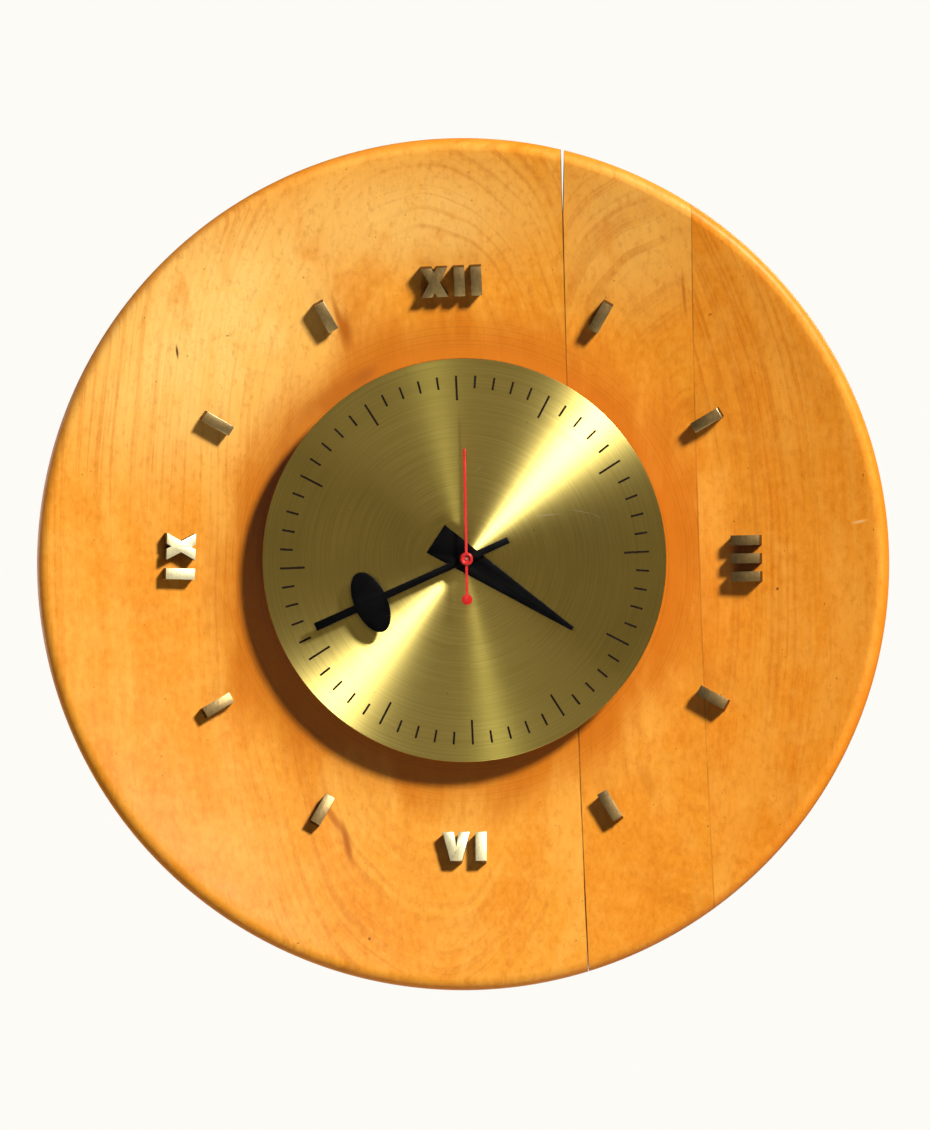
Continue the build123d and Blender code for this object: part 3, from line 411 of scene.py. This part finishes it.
def objectFrom(bm, name, smooth=30, flats=()):
    for face in bm.faces:
        face.smooth = face not in flats
    mesh = bpy.data.meshes.new(name)
    bm.to_mesh(mesh)
    bm.free()
    mesh.set_sharp_from_angle(angle=math.radians(smooth))
    piece = bpy.data.objects.new(name, mesh)
    bpy.context.scene.collection.objects.link(piece)
    return piece


# gives a piece its material, and the body and slot of the node it stands for
def placePiece(piece, material, node):
    piece.data.materials.clear()
    piece.data.materials.append(material)
    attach(piece, bodyOfNode[node])
    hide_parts(node)
    return piece


# takes a cutter's shape out of a piece for good
def cutAway(piece, bm, smooth=30):
    cutter = objectFrom(bm, "cutter", smooth)
    modifier = piece.modifiers.new("cut", "BOOLEAN")
    modifier.operation = "DIFFERENCE"
    modifier.solver = "EXACT"
    modifier.object = cutter
    graph = bpy.context.evaluated_depsgraph_get()
    mesh = bpy.data.meshes.new_from_object(piece.evaluated_get(graph))
    piece.modifiers.clear()
    piece.data = mesh
    mesh.shade_smooth()
    mesh.set_sharp_from_angle(angle=math.radians(smooth))
    bpy.data.objects.remove(cutter)


# round solid along Y between two heights in front of the wall
def drum(radius, back, front, up=0, segments=96):
    bm = bmesh.new()
    middle = Matrix.Translation((0, -(back + front) / 2, up))
    bmesh.ops.create_cone(
        bm, cap_ends=True, segments=segments, radius1=radius, radius2=radius,
        depth=front - back, matrix=middle @ Matrix.Rotation(math.pi / 2, 4, "X"))
    return bm


def block(low, high):
    bm = bmesh.new()
    size = Vector(high) - Vector(low)
    middle = Matrix.Translation((Vector(high) + Vector(low)) / 2)
    bmesh.ops.create_cube(bm, size=1, matrix=middle @ Matrix.Diagonal((*size, 1)))
    return bm


# pocket for the movement, bore for the post, bed of the hanger and room behind its keyhole
def cutBack(piece):
    look = bowlLook
    past, grow = look["past"], look["hangerGap"]
    pocket = look["floorHeight"] - look["web"]
    cutAway(piece, drum(look["pocketRadius"], -past, pocket, segments=160))
    cutAway(piece, drum(look["boreRadius"], pocket - 2 * past, look["floorHeight"] + 4 * past))
    radius = (hangerHigh.x - hangerLow.x) / 2 + grow
    deep = hangerHigh.y - hangerLow.y
    foot, top = hangerLow.z - grow + radius, hangerHigh.z + grow - radius
    cutAway(piece, drum(radius, -past, deep, top))
    cutAway(piece, drum(radius, -past, deep, foot))
    cutAway(piece, block((-radius, -deep, foot), (radius, past, top)))
    half = look["keyholeHalf"]
    cutAway(piece, block((-half, -look["keyholeDepth"], look["keyholeFoot"]),
                         (half, past, look["keyholeTop"])))


# opened glue joint: a wedge above the glued middle, a hairline below it
def cutCrack(piece):
    look = bowlLook
    past, glued, hairline = look["past"], look["glueHalfHeight"], look["hairline"]
    reach = bowlRadius + 0.01
    wedge = ((-past, glued), (0, glued), (hairline, look["crackKnee"]), (look["crackMouth"], reach),
             (-past, reach))
    for points in (wedge, ((0, -glued), (-past, -glued), (-past, -reach), (hairline, -reach))):
        bm = bmesh.new()
        face = bm.faces.new([bm.verts.new((jointOne + x, 0.01, z)) for x, z in points])
        pushed = bmesh.ops.extrude_face_region(bm, geom=[face])
        moved = [v for v in pushed["geom"] if isinstance(v, bmesh.types.BMVert)]
        bmesh.ops.translate(bm, verts=moved, vec=(0, -0.09, 0))
        bmesh.ops.recalc_face_normals(bm, faces=bm.faces)
        cutAway(piece, bm)


def makeBoards():
    for name, look in boardLook.items():
        bm = bowlBlank()
        if name != "board_outer":
            sliced(bm, jointOne if name == "board_wide" else jointTwo, True)
        if name != "board_wide":
            sliced(bm, jointOne if name == "board_middle" else jointTwo, False)
        piece = objectFrom(bm, name + "_turned")
        if name == "board_wide":
            cutBack(piece)
        elif name == "board_middle":
            cutCrack(piece)
        front = piece.data.attributes.new("front", "FLOAT", "FACE")     # one on the face, none behind
        front.data.foreach_set("value", [float(f.normal.y < -0.2) for f in piece.data.polygons])
        placePiece(piece, woodMaterial(name + "_wood", **look), name)
        print("board made:", name, len(piece.data.polygons), "faces")


makeBoards()

brassLook = {
    "lines": ((0.25, (0.52, 0.42, 0.12)), (0.5, (0.60, 0.49, 0.145)), (0.78, (0.69, 0.58, 0.19))),
    "band": (0.53, 0.44, 0.13), "dull": (0.52, 0.44, 0.15), "speck": (0.13, 0.10, 0.05),
    "scratch": (0.86, 0.80, 0.58), "linesPerMetre": 1500.0, "bandsPerMetre": 260.0,
    "scratches": (
        ((0.0415, 0.0205), (0.0085, 0.00028), 4),
        ((0.0580, 0.0215), (0.0075, 0.00026), -12),
        ((0.0655, 0.0190), (0.0045, 0.00024), -30),
        ((0.0075, 0.0445), (0.0028, 0.0002), 35),
    ),
    "grain": (900, 900, 60), "pit": (0.06, 0.045, 0.02), "worn": (0.80, 0.68, 0.40),
    "sawn": (0.07, 0.04, 0.015),
}


# brass turned bright in circles about the axis of the dial, then lacquered
def brushedBrass(name):
    look = brassLook
    mat, tree, shader = startMaterial(name, Metallic=1.0, Anisotropic=1.0)
    shader.inputs["Anisotropic Rotation"].default_value = 0.25
    place = objectPlace(tree)
    radius = axisRadius(tree, place, (dialCentre.x, dialCentre.z))
    angle = maths(tree, "ARCTAN2", parted(tree, place, "X"), parted(tree, place, "Z"))
    rings = combined(tree, times(tree, radius, look["linesPerMetre"]), times(tree, angle, 1.2))
    lines = noise(tree, rings, 1.0, 2.0, 0.6)
    broad = combined(tree, times(tree, radius, look["bandsPerMetre"]), times(tree, angle, 1.4))
    bands = noise(tree, broad, 1.0, 3.0, 0.6)
    cloud = noise(tree, place, 22.0, 4.0, 0.6)
    base = ramp(tree, lines, look["lines"])
    base = overlay(tree, base, look["band"], bands, 0.35, 0.7, 0.15)
    base = overlay(tree, base, look["dull"], cloud, 0.5, 0.8, 0.3, True)
    base = overlay(tree, base, look["speck"], noise(tree, place, 640.0, 1.0), 0.76, 0.8, 0.7)
    for at, size, turn in look["scratches"]:
        mask = times(tree, spot(tree, place, at, size, turn), 0.8)
        base = mixColour(tree, mask, base, look["scratch"])
    tree.links.new(base, shader.inputs["Base Color"])
    tree.links.new(ranged(tree, cloud, 0.35, 0.75, 0.40, 0.44), shader.inputs["Roughness"])
    tangent = addNode(tree, "ShaderNodeTangent", direction_type="RADIAL", axis="Y")
    tree.links.new(tangent.outputs["Tangent"], shader.inputs["Tangent"])
    tree.links.new(bump(tree, bands, 0.05, 0.0002), shader.inputs["Normal"])
    return mat


# sawn and filed brass that has dulled, brighter where it was rubbed
def agedBrass(name, dark, light, smoothest, roughest):
    look = brassLook
    mat, tree, shader = startMaterial(name, Metallic=1.0)
    place = objectPlace(tree)
    cloud = noise(tree, place, 480.0, 4.0, 0.65)
    filed = noise(tree, mapped(tree, place, turn=(0, 0.3, 0), scale=look["grain"]), 1.0, 3.0, 0.6)
    base = ramp(tree, cloud, [(0.28, dark), (0.72, light)])
    base = overlay(tree, base, tuple(0.55 * c for c in dark), filed, 0.5, 0.75, 0.35)
    pits = noise(tree, place, 1500.0, 1.0)
    base = overlay(tree, base, look["pit"], pits, 0.70, 0.76, 0.7)
    base = mixColour(tree, times(tree, attribute(tree, "wear"), 0.6), base, look["worn"])
    base = mixColour(tree, times(tree, attribute(tree, "side"), 0.85), base, look["sawn"])
    tree.links.new(base, shader.inputs["Base Color"])
    tree.links.new(ranged(tree, cloud, 0.3, 0.7, smoothest, roughest), shader.inputs["Roughness"])
    tree.links.new(bump(tree, maths(tree, "ADD", filed, pits), 0.22, 0.0002), shader.inputs["Normal"])
    return mat


# brushed-out enamel on thin metal: slight unevenness, dust, and edges that show through
def paint(name, colour, edge, rough, coat, coatRough, dusty=0.5, sheen=0.35):
    mat, tree, shader = startMaterial(
        name, **{"Coat Weight": coat, "Coat Roughness": coatRough, "Specular IOR Level": sheen})
    place = objectPlace(tree)
    uneven = noise(tree, place, 160.0, 3.0)
    lighter = tuple(min(1.0, 1.5 * c + 0.0005) for c in colour)
    dustColour = tuple(0.4 * c + 0.12 for c in colour)
    base = mixColour(tree, ranged(tree, uneven, 0.35, 0.7), colour, lighter)
    base = overlay(tree, base, dustColour, noise(tree, place, 1300.0, 1.0), 0.73, 0.79, dusty)
    patchy = ranged(tree, noise(tree, place, 420.0, 3.0), 0.5, 0.68, 0.0, 0.55)
    base = mixColour(tree, times(tree, attribute(tree, "wear"), patchy), base, edge)
    tree.links.new(base, shader.inputs["Base Color"])
    shine = ranged(tree, uneven, 0.3, 0.75, rough * 0.85, rough * 1.2)
    tree.links.new(shine, shader.inputs["Roughness"])
    tree.links.new(bump(tree, uneven, 0.12, 0.0003), shader.inputs["Normal"])
    return mat


# injection-moulded plastic: fine spark texture, faint flow marks and a little dust
def moulded(name, colour, rough, grain=2600.0, depth=0.25):
    mat, tree, shader = startMaterial(name)
    shader.inputs["Specular IOR Level"].default_value = 0.45
    place = objectPlace(tree)
    marks = noise(tree, mapped(tree, place, scale=(1, 1, 0.3)), 90.0, 3.0, 0.5, 0.6)
    lighter = tuple(min(1.0, 1.35 * c + 0.01) for c in colour)
    dustColour = tuple(0.6 * c + 0.15 for c in colour)
    base = overlay(tree, colour, lighter, marks, 0.35, 0.75, 0.5)
    base = overlay(tree, base, dustColour, noise(tree, place, 900.0, 1.0), 0.72, 0.8, 0.35)
    tree.links.new(base, shader.inputs["Base Color"])
    shine = ranged(tree, marks, 0.3, 0.75, rough * 0.85, min(1.0, rough * 1.2))
    tree.links.new(shine, shader.inputs["Roughness"])
    tree.links.new(bump(tree, noise(tree, place, grain, 2.0), depth, 0.0001), shader.inputs["Normal"])
    return mat


# rolled or turned metal with drawn lines and a few stains
def plainMetal(name, dark, light, rough, grain=(1500, 1500, 40)):
    mat, tree, shader = startMaterial(name, Metallic=1.0)
    place = objectPlace(tree)
    drawn = stretched(tree, place, grain, 3.0, 0.6)
    cloud = noise(tree, place, 130.0, 4.0, 0.6)
    base = ramp(tree, drawn, [(0.3, dark), (0.7, light)])
    base = overlay(tree, base, (0.2, 0.16, 0.1), cloud, 0.58, 0.8, 0.5, True)
    tree.links.new(base, shader.inputs["Base Color"])
    tree.links.new(ranged(tree, cloud, 0.3, 0.75, rough * 0.8, rough * 1.3), shader.inputs["Roughness"])
    tree.links.new(bump(tree, drawn, 0.12, 0.0001), shader.inputs["Normal"])
    return mat


sleeveLook = {
    "end": (0.55, 0.55, 0.55), "body": (0.03, 0.03, 0.035), "band": (0.72, 0.34, 0.12),
    "cap": (0.6, 0.6, 0.6), "stripe": (0.5, 0.5, 0.5), "scuff": (0.2, 0.2, 0.2),
    "stripeGap": 0.004, "stripeLow": 0.0034, "stripeHigh": 0.0036,
}


# battery sleeve: dark body, copper-coloured end band, thin stripes round it
def printedSleeve(name):
    look = sleeveLook
    mat, tree, shader = startMaterial(name, Metallic=0.35)
    place = objectPlace(tree)
    along = parted(tree, place, "X")
    low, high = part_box("battery_cell")
    cloud = noise(tree, place, 120.0, 3.0)
    base = ramp(tree, ranged(tree, along, low.x, high.x), [
        (0.0, look["end"]), (0.02, look["body"]), (0.64, look["body"]),
        (0.655, look["band"]), (0.955, look["band"]), (0.97, look["cap"])])
    gaps = maths(tree, "PINGPONG", along, look["stripeGap"])
    base = overlay(tree, base, look["stripe"], gaps, look["stripeLow"], look["stripeHigh"], 0.2)
    base = overlay(tree, base, look["scuff"], cloud, 0.45, 0.8, 0.25)
    tree.links.new(base, shader.inputs["Base Color"])
    tree.links.new(ranged(tree, cloud, 0.3, 0.7, 0.24, 0.4), shader.inputs["Roughness"])
    return mat


# turns of enamelled wire, wound side by side along the coil, with painted shade in the grooves between
# turns
def windingCopper(name, wire=0.00028):
    mat, tree, shader = startMaterial(name, Metallic=1.0, Roughness=0.3)
    place = objectPlace(tree)
    turns = maths(tree, "SINE", times(tree, parted(tree, place, "X"), 2 * math.pi / wire))
    cloud = noise(tree, place, 300.0, 3.0)
    base = ramp(tree, cloud, [(0.3, (0.48, 0.17, 0.06)), (0.7, (0.70, 0.30, 0.12))])
    # painted shade darkens the grooves between the turns
    base = overlay(tree, base, (0.12, 0.035, 0.012), turns, -0.2, -1.0, 0.8)
    tree.links.new(base, shader.inputs["Base Color"])
    tree.links.new(bump(tree, turns, 0.5, 0.0001), shader.inputs["Normal"])
    return mat


# solder-resist over tracks that run along the board
def circuitGreen(name):
    mat, tree, shader = startMaterial(name)
    place = objectPlace(tree)
    cells = addNode(tree, "ShaderNodeTexBrick", {
        "Vector": mapped(tree, place, turn=(math.pi / 2, 0, 0)), "Scale": 60.0, "Mortar Size": 0.03,
        "Color1": (0.02, 0.13, 0.05, 1), "Color2": (0.03, 0.17, 0.06, 1),
        "Mortar": (0.06, 0.3, 0.12, 1)})
    cloud = noise(tree, place, 200.0, 3.0)
    base = overlay(tree, cells.outputs["Color"], (0.015, 0.09, 0.04), cloud, 0.4, 0.8, 0.4)
    tree.links.new(base, shader.inputs["Base Color"])
    tree.links.new(ranged(tree, cloud, 0.3, 0.75, 0.22, 0.4), shader.inputs["Roughness"])
    return mat


def stainedWood(name):
    mat, tree, shader = startMaterial(name, Roughness=0.6)
    place = objectPlace(tree)
    streaks = stretched(tree, place, (500, 500, 30), 3.0, 0.6)
    rings = stretched(tree, place, (90, 90, 8), 2.0)
    both = maths(tree, "ADD", times(tree, streaks, 0.5), times(tree, rings, 0.5))
    base = ramp(tree, both, [(0.3, (0.10, 0.045, 0.018)), (0.7, (0.21, 0.095, 0.035))])
    tree.links.new(base, shader.inputs["Base Color"])
    tree.links.new(bump(tree, streaks, 0.3, 0.0003), shader.inputs["Normal"])
    return mat


finishes = {
    "spacer_wood": stainedWood("spacerWood"),
    "dial_brass": brushedBrass("dialBrass"),
    "mark_filling": paint(
        "markFilling", (0.012, 0.006, 0.004), edge=(0.02, 0.012, 0.01), rough=0.7,
        coat=0.0, coatRough=0.3, dusty=0.2, sheen=0.08),
    "marker_brass": agedBrass("markerBrass", (0.33, 0.225, 0.10), (0.44, 0.31, 0.14), 0.44, 0.48),
    "pin_brass": plainMetal("pinBrass", (0.45, 0.34, 0.13), (0.62, 0.5, 0.22), 0.35),
    "black_paint": paint(
        "handBlack", (0.0012, 0.0014, 0.0022), edge=(0.12, 0.105, 0.07), rough=0.38,
        coat=0.02, coatRough=0.2, dusty=0.05, sheen=0.08),
    "black_bushing": paint(
        "bushingBlack", (0.003, 0.003, 0.004), edge=(0.1, 0.09, 0.06), rough=0.18,
        coat=0.6, coatRough=0.05),
    "red_paint": paint(
        "handRed", (0.52, 0.012, 0.014), edge=(0.25, 0.02, 0.02), rough=0.3,
        coat=0.6, coatRough=0.08, dusty=0.3),
    "fitting_brass": plainMetal("fittingBrass", (0.5, 0.38, 0.16), (0.68, 0.55, 0.27), 0.28),
    "gasket_rubber": moulded("gasketRubber", (0.015, 0.015, 0.015), 0.75, 1800.0, 0.4),
    "movement_plastic": moulded("movementPlastic", (0.018, 0.018, 0.019), 0.5),
    "plate_plastic": moulded("platePlastic", (0.035, 0.035, 0.037), 0.45),
    "wheel_plastic": moulded("wheelPlastic", (0.72, 0.70, 0.62), 0.35, 3000.0, 0.12),
    "arbor_steel": plainMetal("arborSteel", (0.42, 0.42, 0.43), (0.62, 0.62, 0.63), 0.25),
    "coil_copper": windingCopper("coilCopper"),
    "circuit_laminate": circuitGreen("circuitGreen"),
    "battery_skin": printedSleeve("batterySleeve"),
    "hanger_steel": plainMetal("hangerSteel", (0.5, 0.5, 0.48), (0.66, 0.66, 0.64), 0.33, (60, 60, 60)),
    "screw_steel": plainMetal("screwSteel", (0.45, 0.45, 0.44), (0.62, 0.62, 0.6), 0.3, (60, 60, 60)),
}
# a much lighter copy of the marker brass for VI and IX: painted light standing in for the key light
# their faces mirror
paintedLitBrass = agedBrass("paintedLitBrass", (0.94, 0.86, 0.55), (0.99, 0.94, 0.64), 0.50, 0.54)
for name, node in nodes.items():
    if slotOfNode[name] in finishes:
        node.data.materials.clear()
        node.data.materials.append(finishes[slotOfNode[name]])
print("finishes made:", len(finishes))

dialLook = {
    "bevel": 0.00022, "turns": 360, "bore": 0.0041, "markWidth": 0.00105, "hourMark": 0.0123,
    "minuteMark": 0.0063, "markOuter": 0.0915, "markDepth": 0.00034, "fillingBelow": 0.00010,
    "lean": -0.75,
}


# sixty straight marks round the dial between two heights, clockwise from twelve
def minuteMarks(back, front):
    look = dialLook
    bm = bmesh.new()
    for minute in range(60):
        length = look["hourMark"] if minute % 5 == 0 else look["minuteMark"]
        size = Vector((look["markWidth"], front - back, length))
        middle = Vector((0, -(back + front) / 2, look["markOuter"] - length / 2))
        turn = Matrix.Rotation(math.radians(look["lean"] + minute * 6), 4, "Y")
        place = Matrix.Translation(dialCentre) @ turn @ Matrix.Translation(middle)
        bmesh.ops.create_cube(bm, size=1, matrix=place @ Matrix.Diagonal((*size, 1)))
    return bm


# the disc lies about its own centre, its bore about the axis of the hands
def makeDial():
    look = dialLook
    radius, back, front = (dialHigh.x - dialLow.x) / 2, -dialHigh.y, -dialLow.y
    bore, edge = look["bore"], look["bevel"]
    bm = bmesh.new()
    start = bm.verts.new((bore, -back, 0))
    last = drawOn(bm, start, [
        (radius - edge, -back), (radius, -back - edge), (radius, -front + edge),
        (radius - edge * 0.35, -front + edge * 0.35), (radius - edge, -front),
        (radius * 0.6, -front), (0.02, -front), (bore, -front)])
    bm.edges.new((last, start))
    spinRound(bm, look["turns"])
    for vert in bm.verts:
        if math.hypot(vert.co.x, vert.co.z) > bore + 1e-4:
            vert.co += dialCentre
    bmesh.ops.recalc_face_normals(bm, faces=bm.faces)
    dial = objectFrom(bm, "dialPlate", 20)
    cut = front - look["markDepth"]
    cutAway(dial, minuteMarks(cut, front + 0.001), 20)
    placePiece(dial, finishes["dial_brass"], "dial_plate")
    filling = objectFrom(minuteMarks(cut, front - look["fillingBelow"]), "minuteMarkFilling")
    placePiece(filling, finishes["mark_filling"], "minute_marks")
    print("dial made:", len(dial.data.polygons), "faces")


makeDial()

# widths of rounded edges by slot and by node, and the angles that part edges from curves
edgeLook = {
    "slots": {"marker_brass": 0.00022, "black_paint": 0.00012, "red_paint": 0.0001},
    "hub": 0.0007, "hubSteps": 4, "steps": 2, "sharp": 25, "smooth": 40,
    "fittings": {
        "minute_hand_bushing": 0.00045, "post_nut": 0.0002, "post_washer": 0.00008,
        "setting_knob": 0.0002, "movement_cover": 0.0002, "hanger_plate": 0.00015,
        "battery_cell": 0.0002,
    },
    # numerals that take the lighter brass, as painted light
    "paintedLitNumerals": ("numeral_06", "numeral_09"),
}


# copy of a node's solid with its loose triangles joined and its edges rounded over;
# wear marks the rounded edges and side the sawn flanks, for paint and polish
def softened(node, width, steps):
    look = edgeLook
    sharp = math.radians(look["sharp"])
    bm = bmesh.new()
    bm.from_mesh(nodes[node].data)
    bmesh.ops.remove_doubles(bm, verts=bm.verts, dist=2e-6)
    bmesh.ops.dissolve_limit(bm, angle_limit=math.radians(1.0), verts=bm.verts, edges=bm.edges)
    hard = [e for e in bm.edges if len(e.link_faces) == 2 and e.calc_face_angle(0) > sharp]
    wear = bm.faces.layers.float.new("wear")
    made = bmesh.ops.bevel(
        bm, geom=hard, offset=width, offset_type="OFFSET", segments=steps, profile=0.5,
        affect="EDGES", clamp_overlap=True, material=-1)
    for face in made["faces"]:
        face[wear] = 1.0
    top = min((f.normal for f in bm.faces), key=lambda n: n.y)
    side = bm.faces.layers.float.new("side")
    for face in bm.faces:
        face[side] = 1.0 if face.normal.dot(top) < 0.5 else 0.0
    rounded = set(made["faces"])
    flats = {f for f in bm.faces if f not in rounded and all(
        rounded & set(e.link_faces) or e.calc_face_angle(0) > sharp for e in f.edges)}
    piece = objectFrom(bm, node + "_finished", look["smooth"], flats)
    # VI and IX take the lighter copy of the brass, which paints in their highlight
    finish = paintedLitBrass if node.startswith(look["paintedLitNumerals"]) else finishes[slotOfNode[node]]
    return placePiece(piece, finish, node)


def softenPieces():
    look = edgeLook
    widths = {n: look["slots"][slotOfNode[n]] for n in sorted(nodes) if slotOfNode[n] in look["slots"]}
    widths["second_hand_hub"] = look["hub"]
    widths.update(look["fittings"])
    for name, width in widths.items():
        softened(name, width, look["hubSteps"] if name == "second_hand_hub" else look["steps"])
    print("solids with rounded edges:", len(widths))


softenPieces()

# each lamp is (towards it, distance, size, power, colour, in reflections only)
studio = {
    "distance": 1.8, "roll": 1.9, "frameHeight": 0.557224, "aimX": -0.00079, "aimZ": -0.00294,
    "rimDepth": 0.006, "ambient": 0.014, "ambientColour": (1.0, 0.98, 0.95, 1),
    "backdrop": (0.98, 0.965, 0.915, 1), "floorSize": 1.1, "floorPlace": (0, 0.1, -0.95),
    "floorColours": ((0.88, 0.86, 0.82), (0.92, 0.90, 0.86)),
    "lamps": {
        "keyLight": ((0.55, -0.63, 0.55), 1.7, 0.3, 47.0, (1.0, 0.97, 0.90), False),
        "lowLight": ((0.11, -0.62, -0.78), 1.1, 0.10, 0.4, (0.95, 1.0, 0.86), False),
        "lowGleam": ((0.11, -0.62, -0.78), 1.12, 0.10, 0.85, (0.97, 1.0, 0.6), True),
        "cameraCard": ((-0.05, -1.0, 0.1), 1.9, 1.1, 2.6, (1.0, 0.80, 0.52), True),
        "backLight": ((0.75, 0.75, 0.6), 1.5, 0.7, 9.0, (1.0, 0.99, 0.97), False),
        "backFill": ((-0.95, 0.35, 0.1), 1.5, 0.9, 14.0, (0.97, 0.98, 1.0), False),
    },
}


def addLight(name, toward, far, size, power, colour, onlyGloss):
    data = bpy.data.lights.new(name, "AREA")
    data.shape = "DISK"
    data.size = size
    data.energy = power
    data.color = colour
    lamp = bpy.data.objects.new(name, data)
    bpy.context.scene.collection.objects.link(lamp)
    away = Vector(toward).normalized()
    lamp.location = away * far
    lamp.rotation_mode = "QUATERNION"
    lamp.rotation_quaternion = away.to_track_quat("Z", "Y")
    lamp.visible_camera = False
    lamp.visible_diffuse = not onlyGloss


# pale backdrop for the camera, much dimmer as a light
def makeWorld():
    world = bpy.data.worlds.new("studioWorld")
    bpy.context.scene.world = world
    world.use_nodes = True
    tree = world.node_tree
    tree.nodes.clear()
    out = tree.nodes.new("ShaderNodeOutputWorld")
    ambient = addNode(tree, "ShaderNodeBackground", {
        "Color": studio["ambientColour"], "Strength": studio["ambient"]})
    seen = addNode(tree, "ShaderNodeBackground", {"Color": studio["backdrop"], "Strength": 1.0})
    mixed = tree.nodes.new("ShaderNodeMixShader")
    tree.links.new(addNode(tree, "ShaderNodeLightPath").outputs["Is Camera Ray"], mixed.inputs["Fac"])
    tree.links.new(ambient.outputs[0], mixed.inputs[1])
    tree.links.new(seen.outputs[0], mixed.inputs[2])
    tree.links.new(mixed.outputs[0], out.inputs["Surface"])


def makeFloor():
    bm = bmesh.new()
    bmesh.ops.create_grid(
        bm, x_segments=2, y_segments=2, size=studio["floorSize"],
        matrix=Matrix.Translation(studio["floorPlace"]))
    floor = objectFrom(bm, "studioFloor")
    mat, tree, shader = startMaterial("floorPale", Roughness=0.8)
    base = mixColour(tree, noise(tree, objectPlace(tree), 3.0), *studio["floorColours"])
    tree.links.new(base, shader.inputs["Base Color"])
    floor.data.materials.append(mat)


def makeCamera():
    data = bpy.data.cameras.new("camera")
    camera = bpy.data.objects.new("camera", data)
    bpy.context.scene.collection.objects.link(camera)
    rimPlane = cadLow.y + studio["rimDepth"]
    camera.location = (studio["aimX"], rimPlane - studio["distance"], studio["aimZ"])
    camera.rotation_euler = (math.pi / 2, math.radians(studio["roll"]), 0)
    data.lens = data.sensor_width * studio["distance"] / studio["frameHeight"]
    bpy.context.scene.camera = camera


def makeStudio():
    bpy.context.scene.view_settings.view_transform = "Standard"
    for name, lamp in studio["lamps"].items():
        addLight(name, *lamp)
    makeWorld()
    makeFloor()
    makeCamera()
    print("studio made:", len(studio["lamps"]), "lamps")


makeStudio()
